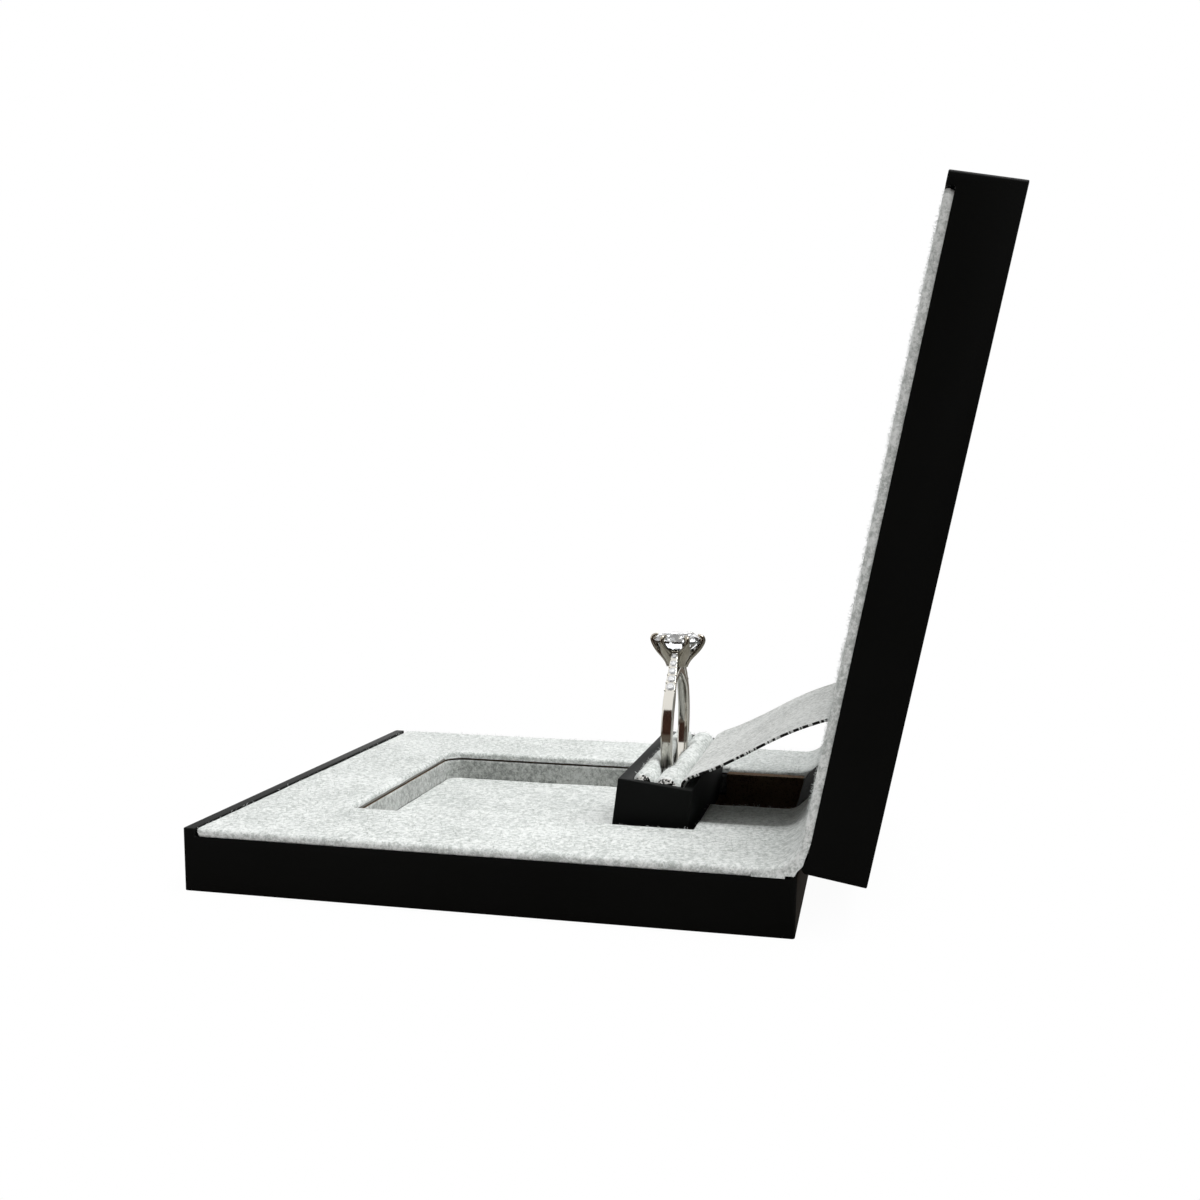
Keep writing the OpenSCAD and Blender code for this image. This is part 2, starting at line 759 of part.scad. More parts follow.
// Section of the band: flat sides, softened edges, slightly round inside.
module band_section() {
    r = 0.3;
    translate([ring_mean_r, 0]) {
        square([band_t - 2 * r, band_w], center = true);
        square([band_t, band_w - 2 * r], center = true);
        for (x = [-1, 1], y = [-1, 1])
            translate([x * (band_t / 2 - r), y * (band_w / 2 - r)]) circle(r);
    }
}

module ring_band() {
    color(white_gold) seat_ring() difference() {
        rotate([90, 0, 0]) rotate_extrude() band_section();
        on_shoulders() translate([0, 0, -stone_seat])
            rotate([0, 0, 22.5]) cylinder(d = shoulder_d, h = 2 * stone_seat, $fn = 8);
    }
}

module shoulder_stones() {
    color(stone_white) seat_ring() on_shoulders() rotate([0, 0, 22.5]) {
        translate([0, 0, -stone_seat]) cylinder(d = shoulder_d, h = stone_seat, $fn = 8);
        cylinder(d1 = shoulder_d, d2 = 0.6 * shoulder_d, h = 0.18, $fn = 8);
    }
}

// Heights in the setting, above the band's top
girdle_h = setting_h - 1.15;
gallery_h = 0.45 * setting_h;
foot_ring_r = 1.5;
tip_ring_r = stone_d / 2 + 0.15;
gallery_r = foot_ring_r + (tip_ring_r - foot_ring_r) * gallery_h / girdle_h - 0.05;

module ring_setting() {
    prong_run = tip_ring_r - foot_ring_r;
    prong_slope = atan2(prong_run, girdle_h);
    color(white_gold) seat_ring() translate([0, 0, ring_outer_r]) difference() {
        union() {
            for (i = [0 : prong_count - 1]) rotate([0, 0, i * 360 / prong_count + 30]) {
                translate([foot_ring_r, 0, 0]) rotate([0, prong_slope, 0])
                    cylinder(r = prong_r, h = norm([prong_run, girdle_h]));
                translate([tip_ring_r, 0, girdle_h]) sphere(prong_r);
                translate([tip_ring_r, 0, girdle_h]) rotate([0, -24, 0])
                    cylinder(r1 = prong_r, r2 = 0.8 * prong_r, h = 1);
                translate([tip_ring_r - sin(24), 0, girdle_h + cos(24)])
                    sphere(0.8 * prong_r);
            }
            translate([0, 0, gallery_h]) rotate_extrude()
                translate([gallery_r, 0]) circle(0.32);
            translate([0, 0, -0.2]) cylinder(r1 = 0.85, r2 = foot_ring_r + 0.3, h = 0.9);
        }
        // The foot stops on the band, and the stone has its own seat.
        rotate([90, 0, 0]) translate([0, -ring_outer_r, 0])
            cylinder(r = ring_outer_r, h = 3 * stone_d, center = true, $fn = 96);
        translate([0, 0, girdle_h]) brilliant_cut(stone_d);
    }
}

// Round brilliant: table, bezel and star facets above a thin girdle,
// main and lower facets below it. The girdle's middle is at Z = 0.
module brilliant_cut(d) {
    r = d / 2;
    girdle = 0.02 * d;
    table_r = 0.56 * r;
    crown_r = 0.80 * r;
    crown_h = 0.15 * d;
    kite_h = 0.60 * crown_h;
    main_r = 0.32 * r;
    pavilion_h = 0.43 * d;
    function ring_of(n, rad, z, turn) =
        [for (i = [0 : n - 1]) let (a = i * 360 / n + turn) [rad * cos(a), rad * sin(a), z]];
    points = concat(
        ring_of(8, table_r, girdle + crown_h, 0),
        ring_of(8, crown_r, girdle + kite_h, 22.5),
        ring_of(16, r, girdle, 0),
        ring_of(16, r, -girdle, 0),
        ring_of(8, main_r, -girdle - 0.68 * pavilion_h, 22.5),
        [[0, 0, -girdle - pavilion_h]]
    );
    table = 0;
    kite = 8;
    upper = 16;
    lower = 32;
    main = 48;
    culet = 56;
    faces = concat(
        [[for (i = [7 : -1 : 0]) table + i]],
        [for (i = [0 : 7]) let (j = (i + 1) % 8) each [
            [table + i, table + j, kite + i],
            [table + j, upper + 2 * j, kite + i],
            [table + i, kite + i, upper + 2 * i],
            [kite + i, upper + 2 * i + 1, upper + 2 * i],
            [kite + i, upper + 2 * j, upper + 2 * i + 1],
            [main + i, lower + 2 * i, lower + 2 * i + 1],
            [main + i, lower + 2 * i + 1, lower + 2 * j],
            [main + i, lower + 2 * j, culet],
            [main + i, culet, lower + 2 * i]
        ]],
        [for (i = [0 : 15]) let (j = (i + 1) % 16) each [
            [upper + i, upper + j, lower + j],
            [upper + i, lower + j, lower + i]
        ]]
    );
    polyhedron(points, faces, convexity = 4);
}

module centre_stone() {
    color(stone_white) seat_ring() translate([0, 0, ring_outer_r + girdle_h])
        brilliant_cut(stone_d);
}

base_shell();
base_insert();
base_magnets();
base_pad_board();
base_pad_felt();
pocket_floor_card();
pocket_floor_felt();
pocket_wall_felt();
well_flap_felt();
lid_shell();
lid_insert();
lid_magnets();
lid_pad_board();
lid_pad_felt();
lid_pocket_felt();
lid_pocket_wall_felt();
base_hinge_leaf();
lid_hinge_leaf();
hinge_pin();
base_hinge_rivets();
lid_hinge_rivets();
hinge_lining();
holder_box();
front_roll_foam();
front_roll_felt();
rear_roll_foam();
rear_roll_felt();
pivot_pins();
pivot_bracket();
bracket_rivets();
pull_strap();
strap_anchor();
ring_band();
ring_setting();
centre_stone();
shoulder_stones();
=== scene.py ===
"""Looks of the ring display box: felt, suede, soft-touch plastic, white gold and stones.

Sizes are millimetres until a mesh is made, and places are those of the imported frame.
"""

import json
import logging
import math
from collections.abc import Callable, Iterable, Sequence
from dataclasses import dataclass, field
from enum import Enum

import bmesh
import bpy
import numpy as np
from mathutils import Matrix, Vector, noise


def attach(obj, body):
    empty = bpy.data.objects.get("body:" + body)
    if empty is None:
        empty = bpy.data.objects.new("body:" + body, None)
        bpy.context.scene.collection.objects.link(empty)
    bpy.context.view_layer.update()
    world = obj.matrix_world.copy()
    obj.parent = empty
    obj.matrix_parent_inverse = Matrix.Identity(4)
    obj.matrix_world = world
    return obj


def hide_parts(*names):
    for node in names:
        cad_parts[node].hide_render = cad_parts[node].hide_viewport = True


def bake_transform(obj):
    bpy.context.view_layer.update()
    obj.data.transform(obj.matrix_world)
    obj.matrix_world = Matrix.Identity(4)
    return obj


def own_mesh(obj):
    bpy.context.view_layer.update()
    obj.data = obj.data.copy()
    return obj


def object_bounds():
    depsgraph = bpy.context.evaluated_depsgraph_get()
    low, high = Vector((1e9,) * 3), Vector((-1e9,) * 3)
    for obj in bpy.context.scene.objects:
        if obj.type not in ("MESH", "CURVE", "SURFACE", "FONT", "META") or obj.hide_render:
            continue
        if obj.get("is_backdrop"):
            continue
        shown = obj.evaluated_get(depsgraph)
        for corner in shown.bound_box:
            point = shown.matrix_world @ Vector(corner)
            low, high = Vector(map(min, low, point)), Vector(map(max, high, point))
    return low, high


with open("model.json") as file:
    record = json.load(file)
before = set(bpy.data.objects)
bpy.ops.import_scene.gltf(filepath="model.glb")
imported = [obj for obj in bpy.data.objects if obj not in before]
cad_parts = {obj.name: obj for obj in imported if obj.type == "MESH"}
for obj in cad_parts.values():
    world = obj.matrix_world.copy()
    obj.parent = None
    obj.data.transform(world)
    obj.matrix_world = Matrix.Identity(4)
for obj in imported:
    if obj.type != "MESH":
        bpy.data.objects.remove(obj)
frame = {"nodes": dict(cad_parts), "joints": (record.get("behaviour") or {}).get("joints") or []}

LOG = logging.getLogger("ring_display_box")
CAD_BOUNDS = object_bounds()
MM = 0.001
PHOTO_PX = 1200
SENSOR = 36.0

Point = Sequence[float]
Face = Sequence[int]


class Body(Enum):
    """Moving bodies of the box."""

    BASE = "base"
    LID = "lid"
    HOLDER = "holder"
    RING = "ring"


# ------------------------------------------------------------------ helpers


def linear(code: str, alpha: float = 1.0) -> tuple[float, float, float, float]:
    """Turns an sRGB hex colour into linear light.

    Args:
        code: The colour as "#rrggbb".
        alpha: The alpha to add.

    Returns:
        Red, green, blue and alpha.
    """
    parts = [int(code[i:i + 2], 16) / 255 for i in (1, 3, 5)]
    light = [c / 12.92 if c <= 0.04045 else ((c + 0.055) / 1.055) ** 2.4 for c in parts]
    return (*light, alpha)


def feed(tree: bpy.types.NodeTree, node: bpy.types.Node,
         inputs: dict[str | int, object]) -> None:
    """Sets the inputs of a node.

    Args:
        tree: The node tree.
        node: The node.
        inputs: For each input's name or number, a value or the output that feeds it.
    """
    for key, value in inputs.items():
        if isinstance(value, bpy.types.NodeSocket):
            tree.links.new(value, node.inputs[key])
        else:
            node.inputs[key].default_value = value


def add_node(tree: bpy.types.NodeTree, kind: str, inputs: dict[str | int, object] | None = None,
             **settings: object) -> bpy.types.Node:
    """Adds a node with its settings, values and links.

    Args:
        tree: The node tree.
        kind: The node's type name.
        inputs: For each input's name or number, a value or the output that feeds it.
        **settings: The node's own properties.

    Returns:
        The new node.
    """
    made = tree.nodes.new(kind)
    for key, value in settings.items():
        setattr(made, key, value)
    feed(tree, made, inputs or {})
    return made


def wobble(point: Point, size: float, seed: float = 0.0) -> float:
    """Smooth noise from -1 to 1.

    Args:
        point: A point in millimetres.
        size: The size of the noise's features in millimetres.
        seed: A shift that gives another pattern.

    Returns:
        The noise at the point.
    """
    return noise.noise(Vector(point) / size + Vector((seed, 2 * seed, -seed)))


def ease(t: float) -> float:
    """Smooth step from 0 to 1 as t goes from 0 to 1."""
    t = min(1.0, max(0.0, t))
    return t * t * (3 - 2 * t)


def make_object(
    name: str,
    points: Iterable[Point],
    faces: Iterable[Face],
    *finishes: bpy.types.Material,
    smooth: bool = True,
) -> bpy.types.Object:
    """Makes a mesh object at the origin from points in millimetres.

    Args:
        name: The object's name.
        points: The vertices.
        faces: The faces, as vertex numbers.
        *finishes: The materials.
        smooth: Whether faces are shaded smooth.

    Returns:
        The linked object.
    """
    mesh = bpy.data.meshes.new(name)
    mesh.from_pydata([tuple(c * MM for c in p) for p in points], [], [tuple(f) for f in faces])
    mesh.polygons.foreach_set("use_smooth", [smooth] * len(mesh.polygons))
    for finish in finishes:
        mesh.materials.append(finish)
    mesh.update()
    made = bpy.data.objects.new(name, mesh)
    bpy.context.scene.collection.objects.link(made)
    return made


def tidy_normals(obj: bpy.types.Object, merge: float = 1e-4) -> None:
    """Merges doubles and turns the faces outwards.

    Args:
        obj: A closed mesh object.
        merge: The distance in millimetres under which points are one.
    """
    work = bmesh.new()
    work.from_mesh(obj.data)
    bmesh.ops.remove_doubles(work, verts=work.verts, dist=merge * MM)
    bmesh.ops.recalc_face_normals(work, faces=work.faces)
    work.to_mesh(obj.data)
    work.free()
    obj.data.update()


def bake(obj: bpy.types.Object) -> bpy.types.Object:
    """Turns an object with modifiers into a plain mesh.

    Args:
        obj: The object.

    Returns:
        The same object, with its evaluated mesh and no modifiers.
    """
    shown = obj.evaluated_get(bpy.context.evaluated_depsgraph_get())
    mesh = bpy.data.meshes.new_from_object(shown)
    obj.modifiers.clear()
    obj.data = mesh
    return obj


def round_points(count: int, a: float, b: float, start: float = 0.0) -> list[tuple[float, float]]:
    """Points round an ellipse.

    Args:
        count: Number of points.
        a: First half axis.
        b: Second half axis.
        start: Where the first point is, as a share of the step between two.

    Returns:
        The points.
    """
    turns = [2 * math.pi * (k + start) / count for k in range(count)]
    return [(a * math.cos(t), b * math.sin(t)) for t in turns]


def tube_faces(rings: int, size: int, closed: bool = False) -> list[list[int]]:
    """Faces of a tube of equal rings, one ring's points after another's.

    Args:
        rings: Number of rings.
        size: Number of points in a ring.
        closed: Whether the last ring joins the first; otherwise two caps come last.

    Returns:
        The faces.
    """
    faces = []
    for i in range(rings if closed else rings - 1):
        j = (i + 1) % rings
        for k in range(size):
            n = (k + 1) % size
            faces.append([i * size + k, i * size + n, j * size + n, j * size + k])
    if not closed:
        faces.append(list(range(size))[::-1])
        faces.append([(rings - 1) * size + k for k in range(size)])
    return faces


def sweep(path: Sequence[Point], section: Callable[[float], Sequence[tuple[float, float]]],
          side: Point, closed: bool = False) -> tuple[list[Vector], list[list[int]]]:
    """Sweeps a section along a path.

    Args:
        path: The points of the path.
        section: The closed outline at each share of the path, as (across, up) pairs.
        side: A direction that the section's first axis keeps to.
        closed: Whether the path closes on itself.

    Returns:
        Points and faces of a closed mesh.
    """
    points: list[Vector] = []
    line = [Vector(p) for p in path]
    count = len(line)
    for i, place in enumerate(line):
        ahead = line[(i + 1) % count] if closed else line[min(i + 1, count - 1)]
        behind = line[(i - 1) % count] if closed else line[max(i - 1, 0)]
        way = (ahead - behind).normalized()
        across = (Vector(side) - way * way.dot(Vector(side))).normalized()
        up = way.cross(across)
        share = i / count if closed else i / (count - 1)
        points += [place + across * a + up * b for a, b in section(share)]
    return points, tube_faces(count, len(points) // count, closed)


def cubic(a: Point, b: Point, c: Point, d: Point, steps: int) -> list[Vector]:
    """Points of a cubic curve through a and d, bent by b and c.

    Args:
        a: First end.
        b: First handle.
        c: Second handle.
        d: Second end.
        steps: Number of steps.

    Returns:
        The curve's points, both ends included.
    """
    ends = [Vector(p) for p in (a, b, c, d)]
    made = []
    for i in range(steps + 1):
        t = i / steps
        shares = ((1 - t) ** 3, 3 * (1 - t) ** 2 * t, 3 * (1 - t) * t * t, t ** 3)
        made.append(sum((p * s for p, s in zip(ends, shares)), Vector((0,) * len(ends[0]))))
    return made


# Radius of a fibre of the felt's nap.
FIBRE_R = 0.018
# Where the grid lines of a rounded felt edge lie, as shares of its radius.
EDGE_STEPS = (0.06, 0.2, 0.42, 0.7, 1.0)


def grid_lines(stops: Sequence[float], step: float, soft: Sequence[float]) -> list[float]:
    """Lines of a grid that has every stop, and close lines beside each.

    Args:
        stops: Places that need a line.
        step: Largest distance between two lines.
        soft: Distances from a stop at which it has more lines on both sides.

    Returns:
        The sorted lines.
    """
    stops = sorted(set(round(s, 4) for s in stops))
    lines = {s for s in stops}
    for low, high in zip(stops, stops[1:]):
        inner = [low + s for s in soft if low + s < (low + high) / 2]
        outer = [high - s for s in soft if high - s > (low + high) / 2]
        lines.update(inner + outer)
        first, last = low + max(soft, default=0), high - max(soft, default=0)
        if last > first:
            count = max(1, math.ceil((last - first) / step))
            lines.update(first + (last - first) * i / count for i in range(count + 1))
    return sorted(set(round(v, 4) for v in lines))


# ----------------------------------------------------------------- finishes


def grain(tree: bpy.types.NodeTree, coords: bpy.types.NodeSocket, size_mm: float,
          detail: float, **more: float) -> bpy.types.NodeSocket:
    """Adds noise to a material.

    Args:
        tree: The material's tree.
        coords: The coordinates in metres.
        size_mm: The size of its features.
        detail: How many finer layers it has.
        **more: The noise's other inputs.

    Returns:
        The noise, from 0 to 1.
    """
    return add_node(tree, "ShaderNodeTexNoise", {
        "Vector": coords, "Scale": 1000 / size_mm, "Detail": detail, **more}).outputs["Fac"]


def mix(tree: bpy.types.NodeTree, share: float, a: bpy.types.NodeSocket,
        b: bpy.types.NodeSocket) -> bpy.types.NodeSocket:
    """Returns a value between a and b, with the given share of b."""
    return add_node(tree, "ShaderNodeMix", {"Factor": share, "A": a, "B": b}).outputs["Result"]


def spread(tree: bpy.types.NodeTree, value: bpy.types.NodeSocket, low: float, high: float,
           start: float = 0.0, end: float = 1.0) -> bpy.types.NodeSocket:
    """Returns a value that goes from low to high as the given one goes from start to end."""
    return add_node(tree, "ShaderNodeMapRange", {
        "Value": value, "From Min": start, "From Max": end, "To Min": low,
        "To Max": high}).outputs["Result"]


def shade(tree: bpy.types.NodeTree, value: bpy.types.NodeSocket,
          *stops: tuple[float, str]) -> bpy.types.NodeSocket:
    """Adds a colour ramp.

    Args:
        tree: The material's tree.
        value: What drives the ramp.
        *stops: Place and sRGB hex colour of its two stops.

    Returns:
        The colour.
    """
    ramp = add_node(tree, "ShaderNodeValToRGB", {"Fac": value})
    for element, (place, code) in zip(ramp.color_ramp.elements, stops):
        element.position = place
        element.color = linear(code)
    return ramp.outputs["Color"]


def relief(tree: bpy.types.NodeTree, height: bpy.types.NodeSocket, strength: float,
           depth_mm: float) -> bpy.types.NodeSocket:
    """Returns the normal of a surface with the given relief."""
    return add_node(tree, "ShaderNodeBump", {
        "Height": height, "Strength": strength, "Distance": depth_mm * MM}).outputs["Normal"]


@dataclass(frozen=True)
class Finish:
    """A named procedural finish on the piece's own coordinates."""

    name: str

    def start(self) -> tuple[bpy.types.Material, bpy.types.NodeTree, bpy.types.NodeSocket]:
        """Returns a new material, its tree and the coordinates."""
        made = bpy.data.materials.new(self.name)
        made.use_nodes = True
        coords = add_node(made.node_tree, "ShaderNodeTexCoord").outputs["Object"]
        return made, made.node_tree, coords


@dataclass(frozen=True)
class Felt(Finish):
    """Pressed wool felt with a short brushed nap.

    Tufts of matted fibre catch the light and leave small shaded gaps, so the cloth
    is finely speckled and almost even from further off.
    """

    pale: str
    deep: str
    tuft_mm: float = 0.42
    cloud_mm: float = 9.0
    cloud_share: float = 0.16
    relief_mm: float = 0.3
    sheen: float = 0.3
    cut: tuple[float, float] = (0.42, 0.57)

    def build(self) -> bpy.types.Material:
        """Returns the felt material."""
        made, tree, coords = self.start()
        tufts = grain(tree, coords, 1.8 * self.tuft_mm, 3.0, Roughness=0.65, Distortion=0.3)
        hairs = grain(tree, coords, 0.7 * self.tuft_mm, 2.0, Roughness=0.7, Distortion=0.6)
        clouds = grain(tree, coords, self.cloud_mm, 3.0)
        matted = mix(tree, 0.4, tufts, hairs)
        speckle = mix(tree, self.cloud_share, matted, clouds)
        feed(tree, tree.nodes["Principled BSDF"], {
            "Base Color": shade(tree, speckle, (self.cut[0], self.deep), (self.cut[1], self.pale)),
            "Normal": relief(tree, matted, 0.6, self.relief_mm),
            "Roughness": 0.95, "Specular IOR Level": 0.1,
            "Sheen Weight": self.sheen, "Sheen Roughness": 0.45})
        return made


@dataclass(frozen=True)
class SoftTouch(Finish):
    """Moulded ABS under a soft-touch lacquer.

    The lacquer spreads every highlight into a dull grey bloom and hides the mould's
    marks under a very fine grain.
    """

    colour: str
    worn: str
    roughness: float = 0.55
    grain_mm: float = 0.12
    wear_mm: float = 9.0

    def build(self) -> bpy.types.Material:
        """Returns the lacquered plastic material."""
        made, tree, coords = self.start()
        fine = grain(tree, coords, 4 * self.grain_mm, 2.0)
        handled = grain(tree, coords, 4 * self.wear_mm, 5.0, Roughness=0.6)
        feed(tree, tree.nodes["Principled BSDF"], {
            "Base Color": shade(tree, handled, (0.35, self.colour), (0.75, self.worn)),
            "Roughness": spread(tree, handled, self.roughness - 0.07, self.roughness + 0.09),
            "Normal": relief(tree, fine, 0.35, 0.02),
            "IOR": 1.5, "Specular IOR Level": 0.07})
        return made


@dataclass(frozen=True)
class Cellular(Finish):
    """Cut foam or pressed card: a dry surface of cells or pulp.

    Open cells show as small pits in a dull ground. In foam the pits' darker colour is painted shade
    in the cells' hollows; in card it is darker pulp.
    """

    ground: str
    pit: str
    cell_mm: float
    pits_from: float = 0.35

    def build(self) -> bpy.types.Material:
        """Returns the foam or card material."""
        made, tree, coords = self.start()
        cells = add_node(tree, "ShaderNodeTexVoronoi", {
            "Vector": coords, "Scale": 1000 / self.cell_mm, "Randomness": 1.0}).outputs["Distance"]
        speckle = mix(tree, 0.4, cells, grain(tree, coords, 16 * self.cell_mm, 4.0))
        # In foam the darker pit colour is painted shade in the open cells.
        feed(tree, tree.nodes["Principled BSDF"], {
            "Base Color": shade(tree, speckle, (self.pits_from - 0.1, self.pit),
                                (self.pits_from + 0.12, self.ground)),
            "Normal": relief(tree, cells, 0.6, 0.3 * self.cell_mm),
            "Roughness": 0.92, "Specular IOR Level": 0.2})
        return made


@dataclass(frozen=True)
class Metal(Finish):
    """Plated or polished metal.

    Fine polishing or rolling lines vary the roughness, so that reflections break up
    a little along them.
    """

    colour: str
    roughness: float
    line_mm: float = 0.2
    stretch: tuple[float, float, float] = (1.0, 1.0, 1.0)
    relief_mm: float = 0.002

    def build(self) -> bpy.types.Material:
        """Returns the metal material."""
        made, tree, coords = self.start()
        drawn = add_node(tree, "ShaderNodeMapping", {"Vector": coords, "Scale": self.stretch})
        lines = grain(tree, drawn.outputs["Vector"], 4 * self.line_mm, 4.0, Roughness=0.6)
        feed(tree, tree.nodes["Principled BSDF"], {
            "Base Color": linear(self.colour), "Metallic": 1.0,
            "Roughness": spread(tree, lines, 0.6 * self.roughness, 1.5 * self.roughness, 0.3, 0.7),
            "Normal": relief(tree, lines, 0.3, self.relief_mm)})
        return made


@dataclass(frozen=True)
class CutStone(Finish):
    """Clear faceted stone.

    A high index throws light back through the crown, so each facet is either bright
    or dark. A trace of surface dust keeps the facets apart.
    """

    tint: str = "#fafcff"
    index: float = 2.42
    clear: float = 1.0

    def build(self) -> bpy.types.Material:
        """Returns the stone material."""
        made, tree, coords = self.start()
        dust = grain(tree, coords, 0.8, 3.0)
        feed(tree, tree.nodes["Principled BSDF"], {
            "Base Color": linear(self.tint), "IOR": self.index,
            "Roughness": spread(tree, dust, 0.0, 0.04, 0.55, 0.8),
            "Transmission Weight": self.clear})
        return made


class Finishes:
    """Every finish of the box, built once."""

    def __init__(self) -> None:
        """Builds the materials."""
        self.felt = Felt("pressed_wool_felt", "#ebeeec", "#b4b9b6").build()
        # A darker copy of the pad's felt for the pockets' walls: painted shade on the upright
        # faces.
        self.shaded_wall_felt = Felt("pocket_wall_felt", "#c4c7c4", "#8d908d").build()
        self.roll_end = Felt("cut_felt_end", "#f0f0ec", "#0a0a08", tuft_mm=0.7,
                             cloud_share=0.0, sheen=0.0, cut=(0.49, 0.53)).build()
        self.suede = Felt("split_suede", "#eaecea", "#a9aca9", tuft_mm=0.36,
                          relief_mm=0.14, sheen=0.4).build()
        # The strap's seared cut edge; the same dark cloth is also painted shade behind the holder
        # and on the well's strip over the hinge.
        self.seared_edge_and_shade = Felt("seared_edge_and_painted_shade", "#2b2a2a", "#070707", tuft_mm=0.3,
                           relief_mm=0.1, sheen=0.0).build()
        self.black = SoftTouch("soft_touch_lacquered_abs", "#080908", "#0c0d0c").build()
        self.rim = SoftTouch("soft_touch_holder_rim", "#0d0e0e", "#141615", 0.62).build()
        # Far lighter and warmer than the black foam: painted warm bounce light in the well.
        self.foam_painted_warm_bounce = Cellular("eva_foam_painted_warm_bounce", "#78634f", "#4a3b2f", 0.35).build()
        self.card = Cellular("pressed_greyboard", "#8a8984", "#6f6e69", 0.25, 0.2).build()
        self.sponge = Cellular("cut_upholstery_foam", "#77756f", "#2c2b28", 0.4).build()
        self.steel = Metal("cold_rolled_steel", "#8d8f91", 0.32, 0.12, (0.1, 1.0, 1.0)).build()
        self.nickel = Metal("nickel_plate", "#c4c2bd", 0.2).build()
        self.gold = Metal("polished_white_gold", "#bbb8b1", 0.1, 1.1, relief_mm=0.03).build()
        # A darker copy of the white gold for the claws and the rails: painted dark reflections.
        self.claw_gold_painted_dark = Metal("white_gold_painted_darker", "#8c867a", 0.14, 0.7, relief_mm=0.04).build()
        self.stone = CutStone("round_brilliant_stone").build()
        self.melee = CutStone("small_cut_stones", clear=0.45).build()


# ------------------------------------------------------------------- places


@dataclass(frozen=True)
class Places:
    """Where the moving parts stand, worked out from the frame."""

    hinge: Vector
    pivot: Vector
    open_angle: float
    lean: float = math.radians(6.5)
    half_h: float = 9.0

    @classmethod
    def from_frame(cls) -> "Places":
        """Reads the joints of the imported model."""
        joints = {j["name"]: j for j in frame["joints"]}
        return cls(
            hinge=Vector(joints["lid_hinge"]["pos_m"]) / MM,
            pivot=Vector(joints["holder_pivot"]["pos_m"]) / MM,
            open_angle=math.radians(joints["lid_hinge"]["range_deg"][1]),
        )

    def open_lid(self, point: Point) -> Vector:
        """Carries a point drawn on the closed lid to the open lid."""
        offset = Vector((point[0], point[1] - self.hinge.y, point[2] - self.half_h))
        offset.rotate(Matrix.Rotation(-self.open_angle, 3, "X"))
        return offset + Vector((0, self.hinge.y, self.half_h))

    def over(self, point: Point) -> Vector:
        """Carries a point drawn for the base to the same place in the open lid."""
        return self.open_lid((point[0], point[1], 2 * self.half_h - point[2]))

    def holder(self, point: Point) -> Vector:
        """Carries a point from the holder's own frame to the standing holder."""
        offset = Vector(point)
        offset.rotate(Matrix.Rotation(-self.lean, 3, "X"))
        return offset + self.pivot


# ----------------------------------------------------------- geometry nodes


def start_tree(name: str, inputs: dict[str, str]) -> tuple[
        bpy.types.NodeTree, bpy.types.bpy_prop_collection]:
    """Starts a geometry tree that has the given inputs, and a Finish.

    Args:
        name: The tree's name.
        inputs: The kind of socket of each input, by its name.

    Returns:
        The tree, and what it is given.
    """
    tree = bpy.data.node_groups.new(name, "GeometryNodeTree")
    for label, kind in {"Geometry": "Geometry", **inputs, "Finish": "Material"}.items():
        tree.interface.new_socket(label, in_out="INPUT", socket_type="NodeSocket" + kind)
    tree.interface.new_socket("Geometry", in_out="OUTPUT", socket_type="NodeSocketGeometry")
    return tree, add_node(tree, "NodeGroupInput").outputs


def place_copies(tree: bpy.types.NodeTree, finish: bpy.types.NodeSocket,
                 inputs: dict[str, object]) -> bpy.types.NodeTree:
    """Ends a geometry tree: sets copies on points, makes them real and gives them a finish.

    Args:
        tree: The tree.
        finish: The material's socket.
        inputs: The inputs of the node that sets the copies.

    Returns:
        The tree.
    """
    placed = add_node(tree, "GeometryNodeInstanceOnPoints", inputs)
    real = add_node(tree, "GeometryNodeRealizeInstances", {
        "Geometry": placed.outputs["Instances"]})
    ended = add_node(tree, "GeometryNodeSetMaterial", {
        "Geometry": real.outputs["Geometry"], "Material": finish})
    add_node(tree, "NodeGroupOutput", {"Geometry": ended.outputs["Geometry"]})
    return tree


def repeat_tree() -> bpy.types.NodeTree:
    """Builds the tree that repeats a shape round an axis through the origin.

    Returns:
        A tree with the inputs Count, Start, Step, Axis and Finish.
    """
    tree, given = start_tree("repeat_round_axis", {
        "Count": "Int", "Start": "Float", "Step": "Float", "Axis": "Vector"})
    row = add_node(tree, "GeometryNodeMeshLine", {
        "Count": given["Count"], "Offset": (0.0, 0.0, 0.0)}, mode="OFFSET")
    number = add_node(tree, "GeometryNodeInputIndex")
    turn = add_node(tree, "ShaderNodeMath", {
        0: number.outputs[0], 1: given["Step"], 2: given["Start"]}, operation="MULTIPLY_ADD")
    rotation = add_node(tree, "FunctionNodeAxisAngleToRotation", {
        "Axis": given["Axis"], "Angle": turn.outputs[0]})
    return place_copies(tree, given["Finish"], {
        "Points": row.outputs["Mesh"], "Instance": given["Geometry"],
        "Rotation": rotation.outputs["Rotation"]})


def row_tree() -> bpy.types.NodeTree:
    """Builds the tree that sets a shape in a straight row, smaller from one to the next.

    Returns:
        A tree with the inputs Count, Start, Step, Turn, Taper and Finish.
    """
    tree, given = start_tree("set_in_row", {
        "Count": "Int", "Start": "Vector", "Step": "Vector", "Turn": "Vector", "Taper": "Float"})
    row = add_node(tree, "GeometryNodeMeshLine", {
        "Count": given["Count"], "Start Location": given["Start"], "Offset": given["Step"]},
        mode="OFFSET")
    number = add_node(tree, "GeometryNodeInputIndex")
    size = add_node(tree, "ShaderNodeMath", {
        0: number.outputs[0], 1: given["Taper"], 2: 1.0}, operation="MULTIPLY_ADD")
    return place_copies(tree, given["Finish"], {
        "Points": row.outputs["Mesh"], "Instance": given["Geometry"],
        "Rotation": given["Turn"], "Scale": size.outputs[0]})


